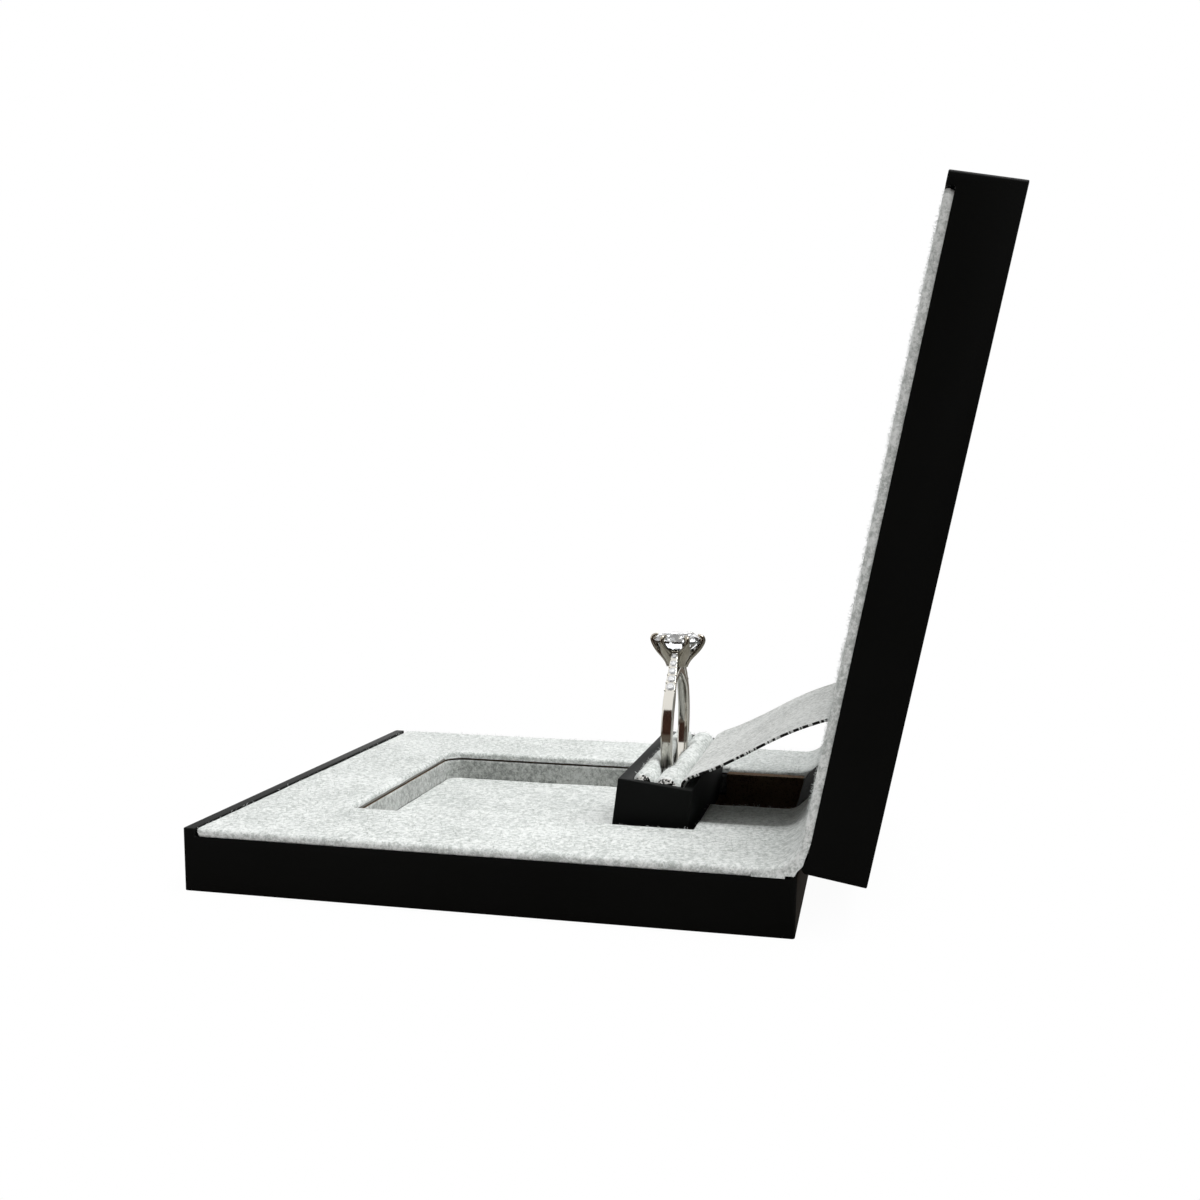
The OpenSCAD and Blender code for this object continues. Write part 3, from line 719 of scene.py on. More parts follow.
def nap_tree() -> bpy.types.NodeTree:
    """Builds the tree that stands short fibres on a felt surface.

    Returns:
        A tree with the inputs Density, Length, Radius, Seed and Finish.
    """
    tree, given = start_tree("felt_nap", {
        "Density": "Float", "Length": "Float", "Radius": "Float", "Seed": "Int"})
    spots = add_node(tree, "GeometryNodeDistributePointsOnFaces", {
        "Mesh": given["Geometry"], "Density": given["Density"], "Seed": given["Seed"]})
    tip = add_node(tree, "ShaderNodeCombineXYZ", {"X": given["Length"], "Z": given["Length"]})
    middle = add_node(tree, "ShaderNodeCombineXYZ", {"Z": given["Length"]})
    hair = add_node(tree, "GeometryNodeCurveQuadraticBezier", {
        "Resolution": 3, "Start": (0.0, 0.0, 0.0), "Middle": middle.outputs[0],
        "End": tip.outputs[0]})
    round_of = add_node(tree, "GeometryNodeCurvePrimitiveCircle", {
        "Resolution": 3, "Radius": given["Radius"]})
    body = add_node(tree, "GeometryNodeCurveToMesh", {
        "Curve": hair.outputs["Curve"], "Profile Curve": round_of.outputs["Curve"],
        "Fill Caps": True})
    spin = add_node(tree, "FunctionNodeRandomValue", {
        "Min": (-0.9, -0.9, -3.14), "Max": (0.9, 0.9, 3.14), "Seed": given["Seed"]},
        data_type="FLOAT_VECTOR")
    lie = add_node(tree, "FunctionNodeRotateRotation", {
        "Rotation": spots.outputs["Rotation"], "Rotate By": spin.outputs[0]},
        rotation_space="LOCAL")
    size = add_node(tree, "FunctionNodeRandomValue", {
        2: 0.4, 3: 1.3, "Seed": given["Seed"]}, data_type="FLOAT")
    return place_copies(tree, given["Finish"], {
        "Points": spots.outputs["Points"], "Instance": body.outputs["Mesh"],
        "Rotation": lie.outputs[0], "Scale": size.outputs[1]})


def apply_tree(obj: bpy.types.Object, tree: bpy.types.NodeTree,
               **values: object) -> bpy.types.Object:
    """Runs a geometry tree on an object and keeps its result as a plain mesh.

    Args:
        obj: The object.
        tree: The tree.
        **values: The tree's named inputs.

    Returns:
        The same object.
    """
    modifier = obj.modifiers.new(tree.name, "NODES")
    modifier.node_group = tree
    for item in tree.interface.items_tree:
        if item.in_out == "INPUT" and item.name in values:
            modifier[item.identifier] = values[item.name]
    return bake(obj)


# ------------------------------------------------------------------ shapes


@dataclass
class Opening:
    """An opening in a pad, with rounded front corners, far (-X) and near (+X)."""

    x0: float
    x1: float
    y0: float
    y1: float
    corners: tuple[float, float] = (0.0, 0.0)

    def holds(self, x: float, y: float) -> bool:
        """Tells whether a point is in the opening."""
        return self.x0 < x < self.x1 and self.y0 < y < self.y1

    def distance(self, x: float, y: float) -> float:
        """Returns how far a point outside is from the opening."""
        return math.hypot(max(self.x0 - x, 0, x - self.x1), max(self.y0 - y, 0, y - self.y1))

    def round_off(self, x: float, y: float, reach: float = 5.0) -> tuple[float, float]:
        """Pulls a grid point towards the rounded front corners.

        Args:
            x: The point's place across.
            y: The point's place from front to back.
            reach: How far from the outline the pull fades out.

        Returns:
            The moved point.
        """
        for cx, way, r in ((self.x0, 1, self.corners[0]), (self.x1, -1, self.corners[1])):
            a, b = (x - cx) * way, y - self.y0
            on_a, on_b = max(a, 0.0), max(b, 0.0)
            if r <= 0 or max(on_a, on_b) >= r or min(a, b) > 1e-6:
                continue
            along = on_a - on_b
            gap = math.hypot(a - on_a, b - on_b)
            angle = math.radians(225) + math.radians(45) * along / r
            target = (r + r * math.cos(angle), r + r * math.sin(angle))
            pull = 1 - ease(gap / reach)
            return x + (target[0] - on_a) * pull * way, y + (target[1] - on_b) * pull
        return x, y


@dataclass
class PadShape:
    """A flat felt pad with soft edges and openings, drawn as a fine grid."""

    x0: float
    x1: float
    y0: float
    y1: float
    z0: float
    z1: float
    edge_r: float
    openings: list[Opening] = field(default_factory=list)
    step: float = 0.8
    wave: float = 0.05
    seed: float = 0.0
    tuck: float = 0.22
    soft_back: bool = False
    corner: float = 0.0
    # How far the front edge is laid back at the x0 and x1 sides.
    askew: tuple[float, float] = (0.0, 0.0)

    def distance(self, x: float, y: float) -> float:
        """Returns how far inside the pad's edges a point is."""
        sides = [x - self.x0, self.x1 - x, y - self.y0]
        if self.soft_back:
            sides.append(self.y1 - y)
        return min(sides + [o.distance(x, y) for o in self.openings])

    def round_off(self, x: float, y: float) -> tuple[float, float]:
        """Rounds the pad's front corners by drawing a square corner into a disc's."""
        r = self.corner
        side, way = (x - self.x0, 1) if x < (self.x0 + self.x1) / 2 else (self.x1 - x, -1)
        if r <= 0 or max(side, y - self.y0) >= r:
            return x, y
        a, b = 1 - side / r, 1 - (y - self.y0) / r
        return (x + way * r * (a - a * math.sqrt(1 - b * b / 2)),
                y + r * (b - b * math.sqrt(1 - a * a / 2)))

    def build(self) -> tuple[list[Vector], list[list[int]], int]:
        """Draws the pad.

        Returns:
            Points, faces, and the number of faces that lie on top.
        """
        soft = [self.edge_r * s for s in EDGE_STEPS]
        xs = grid_lines([self.x0, self.x1, *(v for o in self.openings for v in (o.x0, o.x1)
                         if self.x0 < v < self.x1)], self.step, soft)
        ys = grid_lines([self.y0, self.y1, *(v for o in self.openings for v in (o.y0, o.y1)
                         if self.y0 < v < self.y1)], self.step, soft)
        number: dict[tuple[int, int], int] = {}
        tops: list[Vector] = []
        bottoms: list[Vector] = []

        def corner(i: int, j: int) -> int:
            if (i, j) not in number:
                x, y = xs[i], ys[j]
                depth = max(self.distance(x, y), 0.0)
                short = max(self.edge_r - depth, 0.0)
                drop = self.edge_r - math.sqrt(max(self.edge_r ** 2 - short ** 2, 0.0))
                for outline in (self, *self.openings):
                    x, y = outline.round_off(x, y)
                lift = self.wave * (wobble((x, y, 0), 9, self.seed)
                                    + 0.5 * wobble((x, y, 3), 3.1, self.seed))
                x += self.wave * wobble((x, y, 7), 6, self.seed)
                y += self.wave * wobble((x, y, 11), 6, self.seed)
                share = (x - self.x0) / (self.x1 - self.x0)
                y += ((1 - share) * self.askew[0] + share * self.askew[1]) * ease(
                    1 - (y - self.y0) / 9)
                number[i, j] = len(tops)
                tops.append(Vector((x, y, self.z1 - drop + min(lift, 0.04))))
                bottoms.append(Vector((x, y, self.z0)))
            return number[i, j]

        cells = [
            (i, j) for i in range(len(xs) - 1) for j in range(len(ys) - 1)
            if not any(o.holds((xs[i] + xs[i + 1]) / 2, (ys[j] + ys[j + 1]) / 2)
                       for o in self.openings)
        ]
        quads = [[corner(i, j), corner(i + 1, j), corner(i + 1, j + 1), corner(i, j + 1)]
                 for i, j in cells]
        edges: dict[tuple[int, int], int] = {}
        for quad in quads:
            for a, b in zip(quad, quad[1:] + quad[:1]):
                edges[a, b] = edges.get((a, b), 0) + 1
        rim = [(a, b) for a, b in edges if (b, a) not in edges]
        outward: dict[int, Vector] = {}
        for a, b in rim:
            way = tops[b] - tops[a]
            side = Vector((way.y, -way.x, 0)).normalized()
            for v in (a, b):
                outward[v] = outward.get(v, Vector()) + side
        total = len(tops)
        points = tops + bottoms
        for v, side in outward.items():
            points[total + v] = bottoms[v] - side.normalized() * self.tuck
        faces = list(quads)
        faces += [[total + v for v in quad[::-1]] for quad in quads]
        faces += [[b, a, total + a, total + b] for a, b in rim]
        return points, faces, len(quads)


def ribbon_sheet(
    path: Sequence[tuple[float, float]],
    x0: float,
    x1: float,
    thickness: float,
    step: float = 0.9,
    shift: Callable[[float, float], tuple[float, float]] | None = None,
    square: bool = False,
) -> tuple[list[Vector], list[list[int]], int]:
    """Draws a sheet that is straight across and bent along a path.

    Args:
        path: The (y, z) points of its middle.
        x0: One side.
        x1: The other side.
        thickness: Its thickness.
        step: Largest distance between two lines across.
        shift: Moves a point at (x, share of the path) by (outwards, across).
        square: Whether the long edges are cut square and not rounded.

    Returns:
        Points, faces, and the number of faces on the upper side.
    """
    r = thickness / 2
    xs = grid_lines([x0, x1], step, [0.12 * r, 0.5 * r, r])
    line = [Vector((0, *p)) for p in path]
    count, width = len(line), len(xs)
    points: list[Vector] = []
    for side in (1, -1):
        for i, place in enumerate(line):
            way = (line[min(i + 1, count - 1)] - line[max(i - 1, 0)]).normalized()
            out = Vector((0, -way.z, way.y))
            for x in xs:
                edge = min(x - x0, x1 - x)
                short = 0.0 if square else max(r - edge, 0.0)
                half = math.sqrt(max(r * r - short * short, 0.0)) if short else r
                move, slide = shift(x, i / (count - 1)) if shift else (0.0, 0.0)
                spot = place + out * (side * max(half, 0.15 * r) + move)
                points.append(spot + Vector((x + slide, 0, 0)))
    faces: list[list[int]] = []
    layer = count * width
    for i in range(count - 1):
        for k in range(width - 1):
            a = i * width + k
            quad = [a, a + 1, a + width + 1, a + width]
            faces.append(quad)
    upper = len(faces)
    faces += [[layer + v for v in quad[::-1]] for quad in faces[:upper]]
    ring = list(range(width))
    ring += [i * width + width - 1 for i in range(1, count)]
    ring += [(count - 1) * width + k for k in range(width - 2, -1, -1)]
    ring += [i * width for i in range(count - 2, 0, -1)]
    for a, b in zip(ring, ring[1:] + ring[:1]):
        faces.append([b, a, layer + a, layer + b])
    return points, faces, upper


def path_length(path: Sequence[Point]) -> float:
    """Returns the length of a path."""
    return sum((Vector(b) - Vector(a)).length for a, b in zip(path, path[1:]))


@dataclass
class Workshop:
    """What every sub-assembly needs to make and place its pieces."""

    finishes: Finishes
    places: Places
    repeat: bpy.types.NodeTree
    row: bpy.types.NodeTree
    nap: bpy.types.NodeTree

    def settle(self, obj: bpy.types.Object, body: Body, slot: str, *nodes: str) -> bpy.types.Object:
        """Puts a finished piece on its body.

        Args:
            obj: The piece.
            body: The body that it rides on.
            slot: The record's material slot; not used.
            *nodes: The CAD nodes that it stands for.

        Returns:
            The piece.
        """
        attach(obj, body.value)
        if nodes:
            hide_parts(*nodes)
        LOG.info("%s rides on %s, %d faces", obj.name, body.value, len(obj.data.polygons))
        return obj

    def dress(self, node: str, finish: bpy.types.Material) -> None:
        """Gives a CAD node its finish."""
        mesh = frame["nodes"][node].data
        mesh.materials.clear()
        mesh.materials.append(finish)
        LOG.info("%s keeps its shape and gets %s", node, finish.name)

    def softened(self, node: str, width: float, finish: bpy.types.Material, body: Body,
                 slot: str) -> bpy.types.Object:
        """Stands in for a moulded or cut node with the same shape and softer edges.

        Args:
            node: The CAD node.
            width: The width of the softened edge in millimetres.
            finish: Its material.
            body: The body that it rides on.
            slot: The record's material slot.

        Returns:
            The new piece.
        """
        work = bmesh.new()
        work.from_mesh(frame["nodes"][node].data)
        bmesh.ops.remove_doubles(work, verts=work.verts, dist=1e-6)
        bmesh.ops.dissolve_limit(work, angle_limit=math.radians(0.5), verts=work.verts,
                                 edges=work.edges)
        mesh = bpy.data.meshes.new(node + "_soft")
        work.to_mesh(mesh)
        work.free()
        mesh.materials.clear()
        mesh.materials.append(finish)
        made = bpy.data.objects.new(node + "_soft", mesh)
        bpy.context.scene.collection.objects.link(made)
        bevel = made.modifiers.new("edge", "BEVEL")
        bevel.width = width * MM
        bevel.segments = 3
        bevel.limit_method = "ANGLE"
        bevel.angle_limit = math.radians(40)
        bevel.use_clamp_overlap = False
        bake(made)
        made.data.polygons.foreach_set("use_smooth", [True] * len(made.data.polygons))
        made.data.set_sharp_from_angle(angle=math.radians(35))
        return self.settle(made, body, slot, node)

    def piece(self, name: str, points: Sequence[Point], faces: Sequence[Face], body: Body,
              slot: str, finish: bpy.types.Material, *nodes: str,
              smooth: bool = True) -> bpy.types.Object:
        """Makes a piece with outward faces and puts it on its body.

        Args:
            name: The new piece's name.
            points: Its points.
            faces: Its faces.
            body: The body that it rides on.
            slot: The record's material slot.
            finish: Its material.
            *nodes: The CAD nodes that it stands for.
            smooth: Whether it is shaded smooth.

        Returns:
            The piece.
        """
        made = make_object(name, points, faces, finish, smooth=smooth)
        tidy_normals(made)
        return self.settle(made, body, slot, *nodes)

    def fuzz(self, name: str, points: Sequence[Vector], faces: Sequence[Face], body: Body,
             nap: tuple[float, float], seed: int) -> bpy.types.Object:
        """Stands short fibres on a felt surface.

        Args:
            name: The new piece's name.
            points: The surface's points.
            faces: The surface's faces.
            body: The body that it rides on.
            nap: Fibres for each square millimetre, and their length in millimetres.
            seed: Seed of the fibres' places.

        Returns:
            The piece.
        """
        finish = self.finishes.felt
        made = make_object(name, points, faces, finish)
        apply_tree(made, self.nap, Density=nap[0] / MM ** 2, Length=nap[1] * MM,
                   Radius=FIBRE_R * MM, Seed=seed, Finish=finish)
        return self.settle(made, body, "grey_felt")


# ------------------------------------------------------------- box and pads


@dataclass(frozen=True)
class Pocket:
    """Plan of a felt-lined pocket: far side, near side, front, and its two front corners."""

    far: float
    near: float
    front: float
    radii: tuple[float, float]

    def opening(self, back: float) -> Opening:
        """Returns the pad's opening over the pocket."""
        return Opening(self.far, self.near, self.front, back, self.radii)

    def wall(self, back: float, inset: float) -> list[Vector]:
        """Returns the path of a felt band round the walls, from the near to the far side.

        Args:
            back: Where both ends are.
            inset: How far outside the pocket's outline the path runs.
        """
        x0, x1, front = self.far - inset, self.near + inset, self.front - inset
        far, near = (r + inset for r in self.radii)
        path = [Vector((x1, y, 0)) for y in np.linspace(back, front + near, 40)]
        for cx, r, start in ((x1 - near, near, 0), (x0 + far, far, -90)):
            path += [Vector((cx + r * math.cos(math.radians(start - a)),
                             front + r + r * math.sin(math.radians(start - a)), 0))
                     for a in range(9, 91, 9)]
            if start == 0:
                path += [Vector((x, front, 0)) for x in np.linspace(x1 - near, x0 + far, 44)[1:]]
        path += [Vector((x0, y, 0)) for y in np.linspace(front + far, back, 40)[1:]]
        return path


@dataclass
class BoxHalves:
    """The two shells, their inserts, and the felt pads and linings in them."""

    shop: Workshop
    half_w: float = 42.0
    side_h: float = 7.8
    pad_top: float = 8.95
    pad_front: float = -40.15
    pad_back: float = 38.05
    base_pocket: Pocket = Pocket(-23.2, 23.7, -24.7, (3.2, 1.1))
    lid_well: Pocket = Pocket(-23.2, 23.2, -24.2, (2.5, 2.5))
    # The pad leaves a ledge of the insert bare beside the well, on the far side, under dark cloth
    # that is painted shade.
    ledge: float = 1.9
    pocket_floor: float = 4.2
    shoulder: float = 26.3
    lid_pocket_back: float = 19.2
    well_half_w: float = 18.8
    insert_back: float = 39.15
    flap_edge: float = 5.0
    floor_end: float = 13.1
    felt: float = 0.6
    slit_y: float = 25.7
    strap_half_w: float = 19.8
    shaded_from: float = 19.5
    edge_r: float = 0.55
    corner_r: float = 1.1
    # Fibres for each square millimetre, and their length.
    pad_nap: tuple[float, float] = (1.1, 0.28)
    floor_nap: tuple[float, float] = (0.8, 0.25)
    flap_nap: tuple[float, float] = (2.0, 0.3)

    def build(self) -> None:
        """Makes every piece of the two halves."""
        self.shells()
        self.base_pad()
        self.lid_pad()
        self.pocket()
        self.lid_pocket()
        self.flap()
        self.well_edge()

    def shells(self) -> None:
        """Dresses the moulded shells and what is fixed in them."""
        shop, looks = self.shop, self.shop.finishes
        for node, body in (("base_shell", Body.BASE), ("lid_shell", Body.LID)):
            shop.softened(node, 0.16, looks.black, body, "soft_touch_black")
        for node, body in (("base_insert", Body.BASE), ("lid_insert", Body.LID)):
            shop.softened(node, 0.3, looks.foam_painted_warm_bounce, body, "black_foam")
        for node in ("base_pad_board", "lid_pad_board", "pocket_floor_card", "strap_anchor"):
            shop.dress(node, looks.card)
        for node in ("base_magnets", "lid_magnets"):
            shop.dress(node, looks.nickel)

    def pad(self, name: str, node: str, body: Body, openings: list[Opening], seed: float,
            askew: tuple[float, float], place: Callable[[Point], Vector] | None) -> None:
        """Makes one felt pad and its nap.

        Args:
            name: The piece's name.
            node: The CAD node that it stands for.
            body: The body that it rides on.
            openings: The pad's openings.
            seed: Seed of its unevenness.
            askew: How far its front edge is laid back at the far and the near side.
            place: Carries its points to their place.
        """
        shape = PadShape(-self.half_w, self.half_w, self.pad_front, self.pad_back, self.side_h,
                         self.pad_top, self.edge_r, openings, seed=seed,
                         corner=self.corner_r, askew=askew)
        points, faces, tops = shape.build()
        if place:
            points = [place(p) for p in points]
            faces = [f[::-1] for f in faces]
        made = self.shop.piece(name, points, faces, body, "grey_felt",
                               self.shop.finishes.felt, node)
        nap = self.shop.fuzz(name + "_nap", points, faces[:tops], body, self.pad_nap,
                             int(seed) + 3)
        plane, above = Vector((0, 0, self.pad_top)), Vector((0, 0, self.pad_top + 1))
        if place:
            plane, above = place(plane), place(above)
        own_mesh(nap)

    def base_pad(self) -> None:
        """Makes the base's pad, open over the pocket and the well."""
        over = 5.0
        self.pad("base_felt_pad", "base_pad_felt", Body.BASE, [
            self.base_pocket.opening(self.shoulder),
            Opening(-self.well_half_w - self.ledge, self.well_half_w, self.shoulder - over,
                    self.pad_back + over),
        ], 1.0, (0.5, -0.1), None)

    def lid_pad(self) -> None:
        """Makes the lid's pad, open over its pocket and the strap's slit."""
        self.pad("lid_felt_pad", "lid_pad_felt", Body.LID, [
            self.lid_well.opening(self.lid_pocket_back),
            Opening(-self.strap_half_w - 0.1, self.strap_half_w + 0.1, self.slit_y - 0.5,
                    self.slit_y + 0.5),
        ], 5.0, (0.0, 0.0), self.shop.places.over)

    def band(self, back: float, z0: float, z1: float, pocket: Pocket,
             seed: float) -> tuple[list[Vector], list[list[int]]]:
        """Draws the felt band on a pocket's walls, with small creases at the corners.

        Args:
            back: Where its ends are.
            z0: Its lower edge.
            z1: Its upper edge.
            pocket: The pocket that it lines.
            seed: Seed of its unevenness.

        Returns:
            Points and faces.
        """
        path = pocket.wall(back, self.felt / 2)
        rows = 9
        points: list[Vector] = []
        for i, place in enumerate(path):
            way = (path[min(i + 1, len(path) - 1)] - path[max(i - 1, 0)]).normalized()
            out = Vector((-way.y, way.x, 0))
            near_corner = max(0.0, 1 - min(
                (place - Vector((side, pocket.front, 0))).length
                for side in (pocket.far, pocket.near)) / 4)
            for side in (1, -1):
                for k in range(rows):
                    z = z0 + (z1 - z0) * (k if side > 0 else rows - 1 - k) / (rows - 1)
                    crease = near_corner * 0.16 * math.sin(4.2 * i) * math.sin(z * 2.1)
                    push = 0.05 * wobble((place.x, place.y, z), 4, seed) + crease
                    points.append(place + out * (side * self.felt / 2 + push)
                                  + Vector((0, 0, z)))
        return points, tube_faces(len(path), 2 * rows)

    def pocket(self) -> None:
        """Makes the felt on the pocket's walls and floor."""
        shop, looks = self.shop, self.shop.finishes
        points, faces = self.band(self.shoulder - self.felt, self.pocket_floor - 0.3,
                                  self.side_h - 0.3, self.base_pocket, 2.0)
        wall = make_object("pocket_wall_lining", points, faces, looks.shaded_wall_felt, looks.seared_edge_and_shade)
        for polygon in wall.data.polygons:
            # Behind the holder the wall gets the dark cloth: painted shade where the holder and the
            # strap shade it.
            polygon.material_index = int(polygon.center.y > self.shaded_from * MM)
        tidy_normals(wall)
        shop.settle(wall, Body.BASE, "grey_felt", "pocket_wall_felt")
        pocket = self.base_pocket
        shape = PadShape(pocket.far, pocket.near, pocket.front, self.floor_end,
                         self.pocket_floor - self.felt, self.pocket_floor, 0.3, wave=0.09,
                         seed=8.0, tuck=0.0, soft_back=True)
        points, faces, tops = shape.build()
        for p in points:
            for sx, side, r in zip((-1, 1), (pocket.far, pocket.near), pocket.radii):
                cx, cy = side - sx * r, pocket.front + r
                dx, dy = (p.x - cx) * sx, cy - p.y
                far = math.hypot(dx, dy)
                if dx > 0 and dy > 0 and far > r:
                    p.x, p.y = cx + sx * dx * r / far, cy - dy * r / far
        shop.piece("pocket_floor_lining", points, faces, Body.BASE, "grey_felt", looks.felt,
                   "pocket_floor_felt")
        shop.fuzz("pocket_floor_nap", points, faces[:tops], Body.BASE, self.floor_nap, 12)

    def lid_pocket(self) -> None:
        """Makes the felt in the lid's pocket."""
        shop, looks = self.shop, self.shop.finishes
        over = shop.places.over
        points, faces = self.band(self.lid_pocket_back, 1.5, self.side_h + 0.2, self.lid_well,
                                  4.0)
        shop.piece("lid_pocket_wall_lining", [over(p) for p in points], faces, Body.LID,
                   "grey_felt", looks.shaded_wall_felt, "lid_pocket_wall_felt")
        shape = PadShape(self.lid_well.far - 0.4, self.lid_well.near + 0.4,
                         self.lid_well.front - 0.4, self.lid_pocket_back + 0.4, 1.2, 1.5, 0.1,
                         wave=0.04, seed=9.0, tuck=0.0, soft_back=True, step=1.6)
        points, faces, _ = shape.build()
        shop.piece("lid_pocket_floor_lining", [over(p) for p in points], faces, Body.LID,
                   "grey_felt", looks.felt, "lid_pocket_felt")
        back = PadShape(self.lid_well.far - 0.5, self.lid_well.near + 0.5, 1.5,
                        self.side_h, 0.0, self.felt, 0.1, wave=0.04, seed=10.0, tuck=0.0,
                        soft_back=True, step=1.6)
        points, faces, _ = back.build()
        turned = [over((p.x, self.lid_pocket_back + p.z, p.y)) for p in points]
        shop.piece("lid_pocket_rear_lining", turned, faces, Body.LID, "grey_felt",
                   looks.shaded_wall_felt, "lid_pocket_wall_felt")

    def flap(self) -> None:
        """Makes the loose felt flap that lies over one side of the well."""
        depth = self.insert_back - self.shoulder - 0.1
        path = [(self.shoulder + 0.1 + depth * i / 16, self.side_h + self.felt / 2)
                for i in range(17)]
        width = self.well_half_w - 0.1 - self.flap_edge

        def sag(x: float, share: float) -> tuple[float, float]:
            free = ease(1 - (x - self.flap_edge) / (0.4 * width))
            lift = (0.12 * wobble((x, 13 * share, 0), 5, 4.0)
                    + 0.05 * wobble((x, 13 * share, 2), 2, 4.0))
            return 0.1 + lift * free, 0.12 * lift * free

        points, faces, tops = ribbon_sheet(path, self.flap_edge, self.well_half_w - 0.1,
                                           self.felt, 0.6, sag)
        made = self.shop.piece("well_flap", points, faces, Body.BASE, "grey_felt",
                               self.shop.finishes.felt, "well_flap_felt")
        nap = self.shop.fuzz("well_flap_nap", points, faces[:tops], Body.BASE,
                             self.flap_nap, 21)
        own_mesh(nap)

    def well_edge(self) -> None:
        """Covers the ledge beside the well and the top of its wall with dark cloth, as painted
        shade under the strap.
        """
        wall, top, cloth, low = -self.well_half_w, self.pad_top - self.felt, 0.14, 5.0
        outer = wall - self.ledge - 0.3
        outline = [(outer, top + 0.01), (wall + 0.01, top + 0.01), (wall + 0.01, low),
                   (wall + cloth, low), (wall + cloth, top + cloth), (outer, top + cloth)]
        points, faces = sweep([(0, y, 0) for y in np.linspace(self.insert_back, self.shoulder, 14)],
                              lambda share: outline, (1, 0, 0))
        self.shop.piece("well_edge_shade_cloth", points, faces, Body.BASE, "black_foam",
                        self.shop.finishes.foam_painted_warm_bounce, smooth=False)


